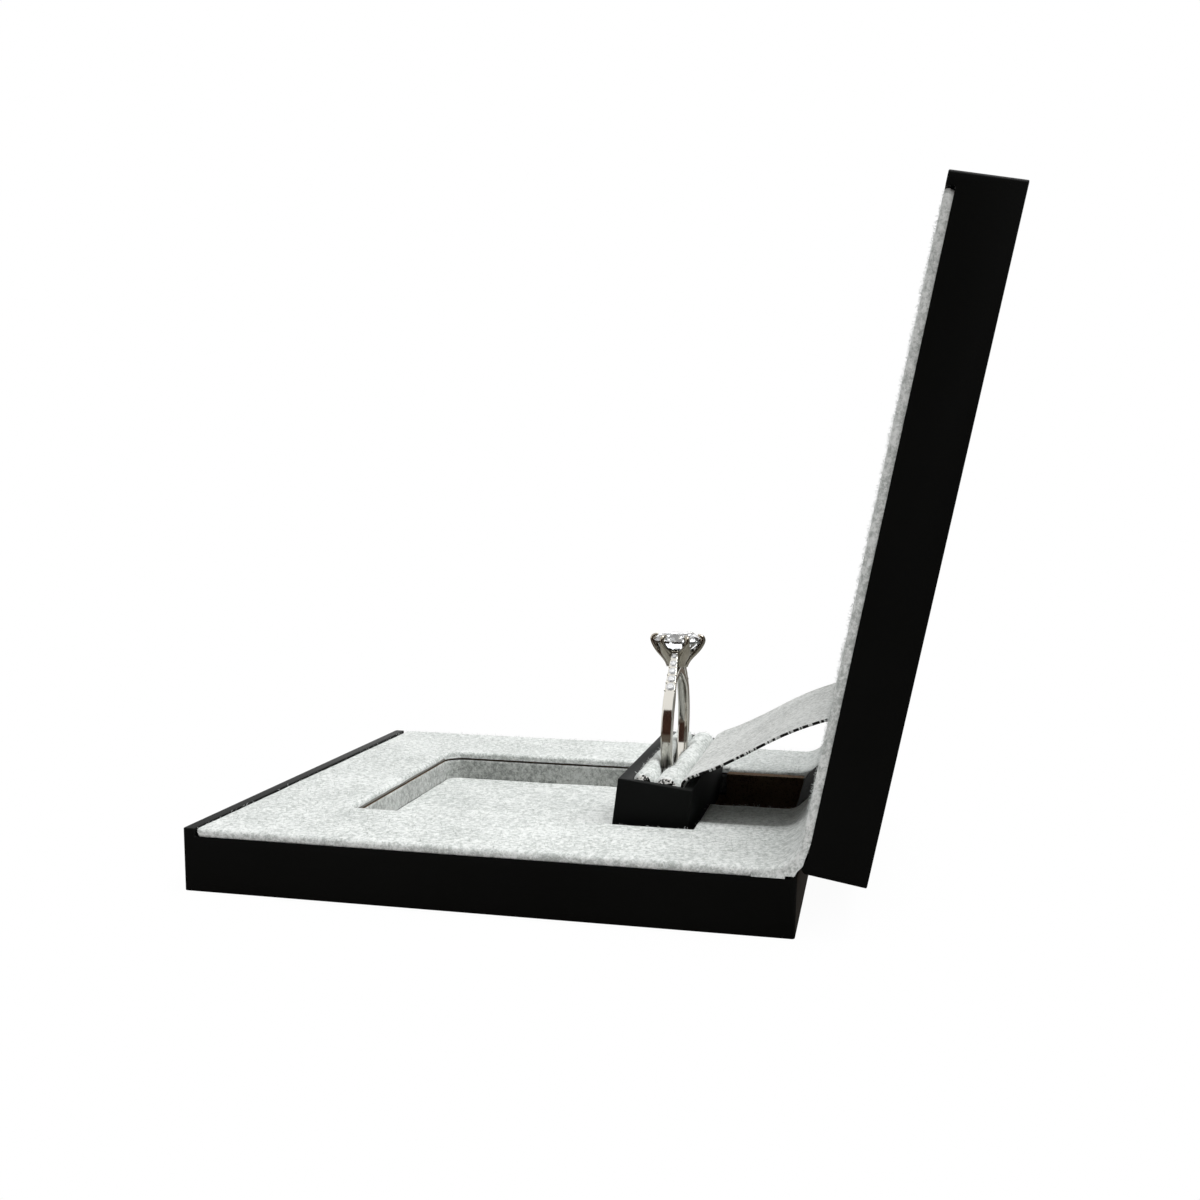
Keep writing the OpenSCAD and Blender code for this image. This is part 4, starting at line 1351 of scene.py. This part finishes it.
@dataclass
class Hinge:
    """The steel hinge and the felt that crosses it."""

    shop: Workshop
    box: BoxHalves
    part_gap: float = 0.05
    fold_r: float = 4.5
    # The corner's felt laps this far over the pad's rounded rear corners.
    lap: float = 1.7
    steps: int = 18
    # Over the knuckles, the dark cloth comes up the well's back as painted shade under the strap,
    # and the felt comes from the flap.
    well_root: tuple[float, float] = (39.2, 6.6)
    flap_root: tuple[float, float] = (38.0, 8.3)
    # The hidden side of the corner's felt, as (y, z), from the lid down to the base.
    hidden_line: tuple[tuple[float, float], ...] = (
        (42.6, 9.5), (41.95, 8.8), (41.75, 8.3), (41.35, 7.95), (40.8, 7.8))

    @property
    def centre(self) -> Vector:
        """Centre of the fold's curve, in (y, z)."""
        angle, hinge = self.shop.places.open_angle, self.shop.places.hinge
        z = self.box.pad_top + self.fold_r
        return Vector((hinge.y + (self.part_gap - self.fold_r
                                  - (z - self.shop.places.half_h) * math.cos(angle))
                       / math.sin(angle), z))

    @property
    def turn(self) -> float:
        """How far the fold turns from the base's pad to the lid's."""
        return math.pi - self.shop.places.open_angle

    def on_fold(self, angle: float, inset: float = 0.0) -> Vector:
        """Returns the (y, z) point of the fold's surface at an angle from the base's pad."""
        return self.centre + (self.fold_r + inset) * Vector((math.sin(angle), -math.cos(angle)))

    def build(self) -> None:
        """Dresses the hinge and makes the linings."""
        box, looks, inner = self.box, self.shop.finishes, self.box.well_half_w
        for node in ("base_hinge_leaf", "lid_hinge_leaf", "hinge_pin", "base_hinge_rivets",
                     "lid_hinge_rivets"):
            self.shop.dress(node, looks.steel)
        self.fillet("near", inner, box.half_w)
        self.fillet("far", -box.half_w, -inner - box.ledge)
        self.crossing("flap", self.flap_root, (1.6, 0.05), box.flap_edge, inner, looks.felt)
        # The well's strip over the knuckles is dark cloth as painted shade under the strap.
        self.crossing("well", self.well_root, (0.0, 2.0), -inner - box.ledge, box.flap_edge,
                      looks.seared_edge_and_shade)

    def bend(self, name: str, points: Sequence[Vector], faces: Sequence[Face],
             finish: bpy.types.Material) -> None:
        """Makes one lining and lets it bend between the base and the lid.

        Args:
            name: Which lining it is.
            points: Its points.
            faces: Its faces.
            finish: Felt, or the well's dark cloth, which is painted shade.
        """
        made = make_object(f"hinge_lining_{name}", points, faces, finish)
        tidy_normals(made)
        if finish is self.shop.finishes.felt:
            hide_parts("hinge_lining")
        start, end = self.on_fold(0.15 * self.turn), self.on_fold(0.85 * self.turn)
        Vector((0, *start)) * MM
        Vector((0, *end)) * MM
        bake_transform(made)
        LOG.info("%s bends between base and lid", made.name)

    def fillet(self, name: str, x0: float, x1: float) -> None:
        """Makes the felt that fills the corner beside the well.

        Args:
            name: Which side it is on.
            x0: One end.
            x1: The other end.
        """
        top = self.on_fold(self.turn)
        back = Vector((math.sin(self.turn), -math.cos(self.turn)))
        depth = self.box.pad_top - self.box.side_h
        outer = [top + back * depth, *self.hidden_line,
                 (self.centre.x - self.lap, self.box.side_h)]
        stations = grid_lines([x0, x1], 0.9, [self.box.edge_r * k for k in EDGE_STEPS])
        points: list[Vector] = []
        for x in stations:
            short = max(self.box.edge_r - min(self.box.half_w - abs(x), self.box.edge_r), 0.0)
            drop = self.box.edge_r - math.sqrt(self.box.edge_r ** 2 - short ** 2)
            points.append(Vector((x, *(self.on_fold(0, drop + 0.05) - Vector((self.lap, 0))))))
            for k in range(self.steps + 1):
                lift = 0.05 * wobble((x, k, 1), 3, 6.0)
                points.append(Vector((x, *self.on_fold(self.turn * k / self.steps, drop + lift))))
            points += [Vector((x, *spot)) for spot in outer]
        faces = tube_faces(len(stations), len(points) // len(stations))
        self.bend(name, points, faces, self.shop.finishes.felt)

    def crossing(self, name: str, root: tuple[float, float], leave: tuple[float, float],
                 x0: float, x1: float, finish: bpy.types.Material) -> None:
        """Makes the thin strip that passes over the knuckles.

        Args:
            name: Which strip it is.
            root: Where it starts in the base, as (y, z).
            leave: How it leaves its root.
            x0: One end.
            x1: The other end.
            finish: Its material.
        """
        thin = 0.3
        meet = 0.56 * self.turn
        reach = 1.5 * Vector((math.cos(meet), math.sin(meet)))
        spot = self.on_fold(meet, thin / 2)
        rise = cubic(root, Vector(root) + Vector(leave), spot - reach, spot, 12)
        rise += [self.on_fold(self.turn * k / self.steps, thin / 2)
                 for k in range(11, self.steps + 1)]
        points, faces, _ = ribbon_sheet([tuple(p) for p in rise], x0, x1, thin, 0.9,
                                        lambda x, s: (0.04 * wobble((x, 9 * s, 1), 3, 6.0), 0.0))
        self.bend(name, points, faces, finish)


# -------------------------------------------------------------- ring holder


@dataclass
class RingHolder:
    """The pivoting holder with its two padded rolls."""

    shop: Workshop
    roll_half_w: float = 20.0
    floor_z: float = 0.0
    roll_top: float = 10.4
    front: tuple[float, float] = (0.85, 3.7)
    rear: tuple[float, float] = (3.9, 7.6)
    ring_reach: float = 9.3
    ring_half: float = 1.0
    ring_turn: float = math.radians(0.5)
    # Steps round the top of a roll.
    steps: int = 28
    # Fibres for each square millimetre and their length, and how high they begin.
    nap: tuple[float, float] = (2.2, 0.3)
    nap_from: float = 13.4

    def build(self) -> None:
        """Makes the holder's pieces."""
        shop, looks = self.shop, self.shop.finishes
        shop.softened("holder_box", 0.18, looks.rim, Body.HOLDER, "soft_touch_black")
        for node in ("front_roll_foam", "rear_roll_foam"):
            shop.dress(node, looks.sponge)
        for node in ("pivot_pins", "pivot_bracket", "bracket_rivets"):
            shop.dress(node, looks.steel)
        self.roll("front_felt_roll", "front_roll_felt", self.front, 1, 31)
        self.roll("rear_felt_roll", "rear_roll_felt", self.rear, -1, 47)

    def parting(self, x: float, depth: float) -> float:
        """Returns how far the ring pushes a roll back from the slot's middle.

        Args:
            x: Place across.
            depth: Depth below the top of the roll.
        """
        reach = ease(1 - (abs(x) - self.ring_reach) / 4.0)
        middle = 0.35 * ease(1 - abs(x) / (self.ring_reach - 2.5))
        return self.ring_half * (reach - middle) * (0.8 + 0.2 * ease(depth / 3))

    def roll(self, name: str, node: str, span: tuple[float, float], inner: int,
             seed: int) -> None:
        """Makes one felt-covered roll that closes on the ring.

        Args:
            name: The piece's name.
            node: The CAD node that it stands for.
            span: Its front and back in the holder's frame.
            inner: 1 if its inner face looks back, -1 if it looks forward.
            seed: Seed of its unevenness.
        """
        shop, looks = self.shop, self.shop.finishes
        radius = (span[1] - span[0]) / 2 + 0.1
        middle = (span[0] + span[1]) / 2
        outline = [(radius, z) for z in np.linspace(self.floor_z + 0.1,
                                                    self.roll_top - radius, 10)[:-1]]
        outline += [(y, self.roll_top - radius + z) for y, z in round_points(
            2 * self.steps, radius, radius)[:self.steps + 1]]
        outline += [(-radius, z) for z in np.linspace(self.roll_top - radius,
                                                      self.floor_z + 0.1, 10)[1:]]
        xs = grid_lines([-self.roll_half_w, self.roll_half_w], 0.6, [0.04, 0.15, 0.35, 0.6])
        points: list[Vector] = []
        for x in xs:
            edge = self.roll_half_w - abs(x)
            shrink = 0.3 * (1 - ease(edge / 0.6))
            for y, z in outline:
                depth = self.roll_top - z
                push = self.parting(x, depth) * max(0.0, inner * y / radius)
                turn = -x * math.tan(self.ring_turn) * self.parting(x, depth) * 0.5
                bumps = 0.09 * wobble((x, y, z), 3.2, seed) + 0.04 * wobble((x, y, z), 1.1, seed)
                scale = 1 - shrink / radius + bumps / radius
                side = y * scale - inner * push - turn * (1 if inner * y > 0 else 0)
                up = z - shrink * ease((z - 5) / 5) + bumps
                points.append(shop.places.holder((x, middle + side, up)))
        faces = tube_faces(len(xs), len(outline))
        made = make_object(name, points, faces, looks.felt, looks.roll_end)
        for cap in (-2, -1):
            made.data.polygons[len(faces) + cap].material_index = 1
        tidy_normals(made)
        shop.settle(made, Body.HOLDER, "grey_felt", node)
        upper = [f for f in faces[:-2] if sum(points[v].z for v in f) / 4 > self.nap_from]
        shop.fuzz(name + "_nap", points, upper, Body.HOLDER, self.nap, seed)


# --------------------------------------------------------------- pull strap


@dataclass
class PullStrap:
    """The suede ribbon that pulls the holder up as the lid opens."""

    shop: Workshop
    half_w: float
    thickness: float = 0.4
    inner_y: float = 7.9
    # It starts this high in the holder, so that it folds clear of the hinge's knuckles.
    root_z: float = 8.75
    rim_z: float = 9.3
    reach: float = 2.1
    rise: float = 3.1
    back_y: float = 9.6
    up_lid: float = 16.0
    sink: float = 0.6
    bend_angle: float = math.radians(26)
    meet_angle: float = math.radians(18)
    # Teeth of the cut edge
    pitch: float = 0.62
    bite: float = 0.07

    def path(self) -> list[tuple[float, float]]:
        """Returns the (y, z) points of the strap's middle."""
        places = self.shop.places
        root = places.holder((0, self.inner_y, self.root_z)).yz
        leave = places.holder((0, self.inner_y, self.rim_z + 0.2)).yz
        bend = places.holder((0, self.back_y + self.reach, self.rim_z + self.rise)).yz
        seam = places.open_lid((0, places.hinge.y - self.up_lid, places.half_h + 0.05)).yz
        end = places.open_lid((0, places.hinge.y - self.up_lid,
                               places.half_h + 0.05 + self.sink)).yz
        up = Vector((math.sin(places.lean), math.cos(places.lean)))
        way = Vector((math.cos(self.bend_angle), math.sin(self.bend_angle)))
        meet = Vector((math.cos(self.meet_angle), math.sin(self.meet_angle)))
        span = (seam - bend).length
        rising = [root + (leave - root) * i / 4 for i in range(4)]
        first = cubic(leave, leave + up * 0.35 * self.rise, bend - way * 0.6 * self.rise, bend, 30)
        second = cubic(bend, bend + way * 0.35 * span, seam - meet * 0.35 * span, seam, 90)
        return [tuple(p) for p in [*rising, *first, *second[1:], end]]

    def build(self) -> None:
        """Makes the strap in its shape for the open lid."""
        shop, looks = self.shop, self.shop.finishes
        path = self.path()
        length = path_length(path)

        def drape(x: float, share: float) -> tuple[float, float]:
            loose = math.sin(math.pi * min(1.0, max(0.0, (share - 0.3) / 0.7)))
            lift = 0.16 * loose * wobble((x, 30 * share, 0), 14, 2.0)
            edge = abs(x) > self.half_w - 0.3
            tooth = self.bite * math.sin(2 * math.pi * share * length / self.pitch)
            ragged = 0.06 * wobble((x, length * share, 5), 0.7, 3.0)
            return lift, (math.copysign(tooth, x) + ragged if edge else 0.0)

        points, faces, tops = ribbon_sheet(path, -self.half_w, self.half_w, self.thickness,
                                           0.9, drape, square=True)
        made = make_object("pull_strap_suede", points, faces, looks.suede, looks.seared_edge_and_shade)
        for polygon in list(made.data.polygons)[2 * tops:]:
            spot = polygon.center / MM
            polygon.material_index = int(wobble((0, spot.y, spot.z), 0.34, 7.0) > -0.08)
        tidy_normals(made)
        shop.settle(made, Body.LID, "suede_grey", "pull_strap")
        places = shop.places
        surface = places.open_lid((0, places.hinge.y - self.up_lid, places.half_h + 0.04))
        outward = surface - places.open_lid((0, places.hinge.y - self.up_lid, places.half_h + 1))
        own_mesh(made)


# --------------------------------------------------------------------- ring


@dataclass
class Ring:
    """White gold ring with raised shoulders, small stones, and a round stone in six claws."""

    shop: Workshop
    turn: float
    finger_r: float = 8.6
    band_t: float = 1.5
    band_w: float = 1.75
    sink: float = 5.5
    slot: tuple[float, float] = (3.8, 9.3)
    stone_d: float = 7.6
    setting_h: float = 4.8
    claw_r: float = 0.36
    claws: int = 6
    # The shoulders leave the circle here and run straight up to the basket.
    arm_from: float = math.radians(47)
    arm_end: tuple[float, float] = (2.75, 12.35)
    arm_t: float = 1.0
    arm_w: tuple[float, float] = (1.68, 1.15)
    small_d: float = 1.36
    small_count: int = 5
    small_taper: float = -0.07

    @property
    def outer_r(self) -> float:
        """Outer radius of the band."""
        return self.finger_r + self.band_t

    @property
    def girdle(self) -> float:
        """Height of the stone's girdle above the band."""
        return self.setting_h - 1.15

    @property
    def arm(self) -> tuple[Vector, Vector]:
        """Start and end of a shoulder's outer line, in the ring's (x, z) plane."""
        start = Vector((math.sin(self.arm_from), math.cos(self.arm_from))) * self.outer_r
        return start, Vector(self.arm_end)

    def placed(self, point: Point) -> Vector:
        """Carries a point from the ring's own frame to the standing ring."""
        rim = self.shop.places.holder((0, *self.slot))
        spot = Vector(point)
        spot.rotate(Matrix.Rotation(self.turn, 3, "Z"))
        return spot + Vector((0, rim.y, rim.z - self.sink + self.outer_r))

    def put(self, obj: bpy.types.Object, slot: str, *nodes: str) -> bpy.types.Object:
        """Moves a piece drawn in the ring's frame to its place, and settles it."""
        for v in obj.data.vertices:
            v.co = self.placed(v.co / MM) * MM
        obj.data.update()
        return self.shop.settle(obj, Body.RING, slot, *nodes)

    def build(self) -> None:
        """Makes the ring."""
        self.band()
        for name, way in (("near", 1), ("far", -1)):
            self.shoulder(name, way)
            self.small_stones(name, way)
        self.setting()
        self.shop.dress("centre_stone", self.shop.finishes.stone)

    @staticmethod
    def soft_box(width: float, height: float, soft: float) -> list[tuple[float, float]]:
        """Returns a rectangle with rounded corners, centred."""
        outline = []
        for cy, cz, start in ((1, 1, 0), (-1, 1, 90), (-1, -1, 180), (1, -1, 270)):
            for k in range(7):
                a = math.radians(start + 15 * k)
                outline.append((cy * (width / 2 - soft) + soft * math.cos(a),
                                cz * (height / 2 - soft) + soft * math.sin(a)))
        return outline

    def band(self) -> None:
        """Makes the band, which is slimmer under the head."""
        count = 240
        slim = 0.4

        def top_share(share: float) -> float:
            angle = abs((share * 2 * math.pi + math.pi) % (2 * math.pi) - math.pi)
            return ease((self.arm_from + 0.15 - angle) / 0.5)

        path = []
        for i in range(count):
            r = self.finger_r + (self.band_t - slim * top_share(i / count)) / 2
            a = 2 * math.pi * i / count
            path.append((r * math.sin(a), 0, r * math.cos(a)))
        points, faces = sweep(path, lambda share: self.soft_box(
            self.band_w - 0.5 * top_share(share), self.band_t - slim * top_share(share), 0.3),
            (0, 1, 0), closed=True)
        made = make_object("ring_band_polished", points, faces, self.shop.finishes.gold)
        tidy_normals(made, 1e-5)
        self.put(made, "white_gold", "ring_band")

    def shoulder(self, name: str, way: int) -> None:
        """Makes one raised shoulder, from the side of the band up to the basket.

        Args:
            name: Which shoulder it is.
            way: 1 for the shoulder on the +X side, -1 for the other.
        """
        start, end = self.arm
        centre_r = self.outer_r - self.arm_t / 2
        path = []
        for a in np.linspace(self.arm_from + 0.42, self.arm_from, 14)[:-1]:
            # It starts sunk in the band and comes out of it.
            r = centre_r - 0.2 * ease((a - self.arm_from) / 0.42)
            path.append(Vector((r * math.sin(a), r * math.cos(a))))
        inward = Vector(((end - start).y, -(end - start).x)).normalized() * -self.arm_t / 2
        path += [start + inward + (end - start) * k / 16 for k in range(17)]
        wide, narrow = self.arm_w

        def section(share: float) -> list[tuple[float, float]]:
            width = wide + (narrow - wide) * ease((share - 0.4) / 0.6)
            return self.soft_box(width, self.arm_t, 0.2)

        points, faces = sweep([(way * p.x, 0, p.y) for p in path], section, (0, 1, 0))
        made = make_object(f"ring_shoulder_{name}", points, faces, self.shop.finishes.gold)
        tidy_normals(made, 1e-5)
        self.put(made, "white_gold")

    def setting(self) -> None:
        """Makes the claws by repeating one, and the basket's rails."""
        looks = self.shop.finishes
        tip_r = self.stone_d / 2 + 0.08
        foot, girdle = 1.35, self.girdle
        path = cubic((foot, 0, -0.3), (foot + 0.5, 0, 1.4), (tip_r - 0.55, 0, girdle - 1.6),
                     (tip_r, 0, girdle), 18)
        path += cubic((tip_r, 0, girdle), (tip_r + 0.12, 0, girdle + 0.45),
                      (tip_r - 0.15, 0, girdle + 0.8), (tip_r - 0.75, 0, girdle + 0.98), 10)[1:]

        def section(share: float) -> list[tuple[float, float]]:
            deep = self.claw_r * (0.85 + 0.3 * ease(share / 0.5) - 0.6 * ease((share - 0.8) / 0.2))
            wide = (0.7 + 0.4 * ease(share / 0.3) - 0.72 * ease((share - 0.32) / 0.36)
                    - 0.14 * ease((share - 0.8) / 0.2))
            return round_points(12, wide, deep)

        points, faces = sweep(path, section, (0, 1, 0))
        claws = make_object("ring_claws", points, faces, looks.claw_gold_painted_dark)
        tidy_normals(claws, 1e-5)
        apply_tree(claws, self.shop.repeat, Count=self.claws, Start=math.radians(30),
                   Step=2 * math.pi / self.claws, Axis=(0.0, 0.0, 1.0), Finish=looks.claw_gold_painted_dark)
        for v in claws.data.vertices:
            v.co.z += self.outer_r * MM
        self.put(claws, "white_gold", "ring_setting")
        self.rail("ring_basket_rail", 2.62, 2.1, 0.26)
        self.rail("ring_basket_foot", foot, 0.05, 0.4)

    def rail(self, name: str, radius: float, height: float, thick: float) -> None:
        """Makes one round rail of the basket.

        Args:
            name: The piece's name.
            radius: Radius of the rail.
            height: Height above the band.
            thick: Radius of its wire.
        """
        path = [(*p, self.outer_r + height) for p in round_points(72, radius, radius)]
        points, faces = sweep(path, lambda share: round_points(12, thick, thick), (0, 0, 1),
                              closed=True)
        made = make_object(name, points, faces, self.shop.finishes.claw_gold_painted_dark)
        tidy_normals(made, 1e-5)
        self.put(made, "white_gold", "ring_setting")

    def small_stones(self, name: str, way: int) -> None:
        """Sets the small stones in one shoulder, with a pair of beads before each.

        Args:
            name: Which shoulder it is.
            way: 1 for the shoulder on the +X side, -1 for the other.
        """
        looks, r = self.shop.finishes, self.small_d / 2
        rows = [(0.0, -0.5 * r, 1), (r, 0.0, 8), (r, 0.05, 8), (0.6 * r, 0.2, 8), (0.0, 0.2, 1)]
        points: list[tuple[float, float, float]] = []
        for radius, height, count in rows:
            points += [(*p, height) for p in round_points(8, radius, radius, 0.5)[:count]]
        faces = []
        for k in range(8):
            n = (k + 1) % 8
            faces.append([0, 1 + n, 1 + k])
            for a, b in ((1, 9), (9, 17)):
                faces.append([a + k, a + n, b + n, b + k])
            faces.append([17 + k, 17 + n, 25])
        start, end = self.arm
        along = (end - start).normalized()
        turn = math.atan2(along.y, -along.x)
        pitch = 1.04 * self.small_d

        def row(obj: bpy.types.Object, count: int, first: float,
                finish: bpy.types.Material) -> None:
            spot = start + along * first
            apply_tree(obj, self.shop.row, Count=count,
                       Start=(way * spot.x * MM, 0.0, spot.y * MM),
                       Step=(way * along.x * pitch * MM, 0.0, along.y * pitch * MM),
                       Turn=(0.0, way * turn, 0.0), Taper=self.small_taper, Finish=finish)

        stones = make_object(f"shoulder_stones_{name}", points, faces, looks.melee, smooth=False)
        tidy_normals(stones, 1e-5)
        row(stones, self.small_count, 0.5 * pitch, looks.melee)
        self.put(stones, "clear_stone", "shoulder_stones")
        bead = bmesh.new()
        for side in (-1, 1):
            shift = Matrix.Translation((0, side * 0.56 * self.small_d, 0.03))
            bmesh.ops.create_icosphere(bead, subdivisions=2, radius=0.15, matrix=shift)
        pair = [tuple(v.co) for v in bead.verts]
        balls = [[v.index for v in f.verts] for f in bead.faces]
        bead.free()
        beads = make_object(f"shoulder_beads_{name}", pair, balls, looks.gold)
        row(beads, self.small_count + 1, 0.0, looks.gold)
        self.put(beads, "white_gold")


# ------------------------------------------------------------------- studio


@dataclass
class Studio:
    """The floor, the lamps and the camera."""

    azimuth: float = math.radians(102.559)
    elevation: float = math.radians(9.397)
    roll: float = math.radians(0.715)
    place: tuple[float, float, float] = (207.23, 50.82, 54.10)
    focal_px: float = 1351.0
    principal: tuple[float, float] = (580.08, 724.55)
    floor_r: float = 1.6
    ambient: float = 0.5
    key_w: float = 2.5
    mirrored: str = "#746b62"
    mirrored_sky: float = 1.5
    card_x: float = 0.36
    card_size: tuple[float, float] = (0.9, 0.32)

    def build(self) -> None:
        """Sets up the stage."""
        self.floor()
        self.world()
        self.lamp("key", (0.02, 0.15, 0.5), 0.2, self.key_w)
        self.card()
        self.camera()
        bpy.context.scene.view_settings.view_transform = "Standard"

    @staticmethod
    def ray_kinds(tree: bpy.types.NodeTree) -> tuple[bpy.types.NodeSocket, bpy.types.NodeSocket]:
        """Returns whether a ray is seen directly or through the stones, and whether mirrored."""
        rays = add_node(tree, "ShaderNodeLightPath").outputs
        seen = add_node(tree, "ShaderNodeMath", {
            0: rays["Is Camera Ray"], 1: rays["Is Transmission Ray"]}, operation="ADD",
            use_clamp=True)
        return seen.outputs[0], rays["Is Glossy Ray"]

    def floor(self) -> None:
        """Makes the pale floor, which fades to white away from the box."""
        rim = [(*p, -0.02) for p in round_points(96, self.floor_r / MM, self.floor_r / MM)]
        made = make_object("floor", rim, [list(range(len(rim)))], smooth=False)
        finish = bpy.data.materials.new("painted_white_board")
        finish.use_nodes = True
        tree = finish.node_tree
        tree.nodes.remove(tree.nodes["Principled BSDF"])
        coords = add_node(tree, "ShaderNodeTexCoord").outputs["Object"]
        far = add_node(tree, "ShaderNodeVectorMath", {0: coords}, operation="LENGTH")
        fade = add_node(tree, "ShaderNodeMapRange", {
            "Value": far.outputs["Value"], "From Min": 0.045, "From Max": 0.07,
            "To Min": 0.96, "To Max": 1.0}, interpolation_type="SMOOTHSTEP")
        seen, mirrored = self.ray_kinds(tree)
        share = add_node(tree, "ShaderNodeMath", {
            0: fade.outputs["Result"], 1: seen}, operation="MULTIPLY")
        board = add_node(tree, "ShaderNodeBsdfDiffuse", {"Color": linear("#eeeeee")})
        glow = add_node(tree, "ShaderNodeEmission", {"Color": linear("#ffffff"),
                                                     "Strength": 1.0})
        mixed = add_node(tree, "ShaderNodeMixShader", {
            0: share.outputs[0], 1: board.outputs[0], 2: glow.outputs[0]})
        dim = add_node(tree, "ShaderNodeEmission", {"Color": linear(self.mirrored),
                                                    "Strength": 1.0})
        table = add_node(tree, "ShaderNodeMixShader", {
            0: mirrored, 1: mixed.outputs[0], 2: dim.outputs[0]})
        feed(tree, tree.nodes["Material Output"], {"Surface": table.outputs[0]})
        made.data.materials.append(finish)
        made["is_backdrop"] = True

    def card(self) -> None:
        """Stands a dark card behind the camera, which the metal and the lacquer mirror."""
        width, height = self.card_size
        x, count = self.card_x / MM, 48
        outline = []
        for k in range(count):
            turn = 2 * math.pi * k / count
            reach = 1 + 0.3 * wobble((math.cos(turn), math.sin(turn), 0), 0.5, 3.0)
            outline.append((x, width / 2 * reach * math.cos(turn) / MM,
                            height / 2 * (1 + reach * math.sin(turn)) / MM))
        made = make_object("dark_card", outline, [range(count)],
                           Cellular("brown_velvet_card", "#4e342a", "#0d0706", 16.0, 0.42).build(),
                           smooth=False)
        made.visible_camera = False
        made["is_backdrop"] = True

    def world(self) -> None:
        """Makes the plain surround: white to look at, softer as a light."""
        world = bpy.data.worlds.new("plain_surround")
        bpy.context.scene.world = world
        world.use_nodes = True
        tree = world.node_tree
        seen, mirrored = self.ray_kinds(tree)
        plain = add_node(tree, "ShaderNodeMapRange", {
            "Value": seen, "To Min": self.ambient, "To Max": 1.0})
        strength = add_node(tree, "ShaderNodeMath", {
            0: mirrored, 1: self.mirrored_sky - self.ambient,
            2: plain.outputs["Result"]}, operation="MULTIPLY_ADD")
        feed(tree, tree.nodes["Background"], {
            "Color": linear("#ffffff"), "Strength": strength.outputs[0]})

    def lamp(self, name: str, place: Point, size: float, power: float) -> None:
        """Hangs a square soft lamp that looks at the box.

        Args:
            name: The lamp's name.
            place: Its place in metres.
            size: Its width in metres.
            power: Its power in watts.
        """
        lamp = bpy.data.lights.new(name, "AREA")
        lamp.shape = "SQUARE"
        lamp.size = size
        lamp.energy = power
        made = bpy.data.objects.new(name, lamp)
        made.location = place
        aim = Vector((0, 0.01, 0.02)) - Vector(place)
        made.rotation_euler = aim.to_track_quat("-Z", "Y").to_euler()
        bpy.context.scene.collection.objects.link(made)

    def camera(self) -> None:
        """Sets the camera at the photograph's viewpoint."""
        a, e = self.azimuth, self.elevation
        ahead = Vector((-math.sin(a) * math.cos(e), math.cos(a) * math.cos(e), -math.sin(e)))
        right = Vector((math.cos(a), math.sin(a), 0))
        up = right.cross(ahead)
        c, s = math.cos(self.roll), math.sin(self.roll)
        across, above = c * right + s * up, -s * right + c * up
        data = bpy.data.cameras.new("camera")
        data.sensor_width = SENSOR
        data.lens = self.focal_px / PHOTO_PX * SENSOR
        data.shift_x = (PHOTO_PX / 2 - self.principal[0]) / PHOTO_PX
        data.shift_y = (self.principal[1] - PHOTO_PX / 2) / PHOTO_PX
        data.clip_start, data.clip_end = 0.005, 20
        made = bpy.data.objects.new("camera", data)
        turn = Matrix((across, above, -ahead)).transposed()
        made.matrix_world = Matrix.Translation(Vector(self.place) * MM) @ turn.to_4x4()
        bpy.context.scene.collection.objects.link(made)
        bpy.context.scene.camera = made


def write_sizes() -> None:
    """Works out the CAD model's box and the dressed model's box, and keeps neither."""
    rows = {name: [list(corner) for corner in box]
            for name, box in (("cad", CAD_BOUNDS), ("visual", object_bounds()))}


def main() -> None:
    """Builds the scene, one sub-assembly after another."""
    logging.basicConfig(level=logging.INFO, format="%(message)s")
    Studio().build()
    shop = Workshop(Finishes(), Places.from_frame(), repeat_tree(), row_tree(), nap_tree())
    box, holder = BoxHalves(shop), RingHolder(shop)
    for part in (box, Hinge(shop, box), holder, PullStrap(shop, box.strap_half_w),
                 Ring(shop, holder.ring_turn)):
        part.build()
        LOG.info("%s done", type(part).__name__)
    write_sizes()


if __name__ == "__main__":
    main()
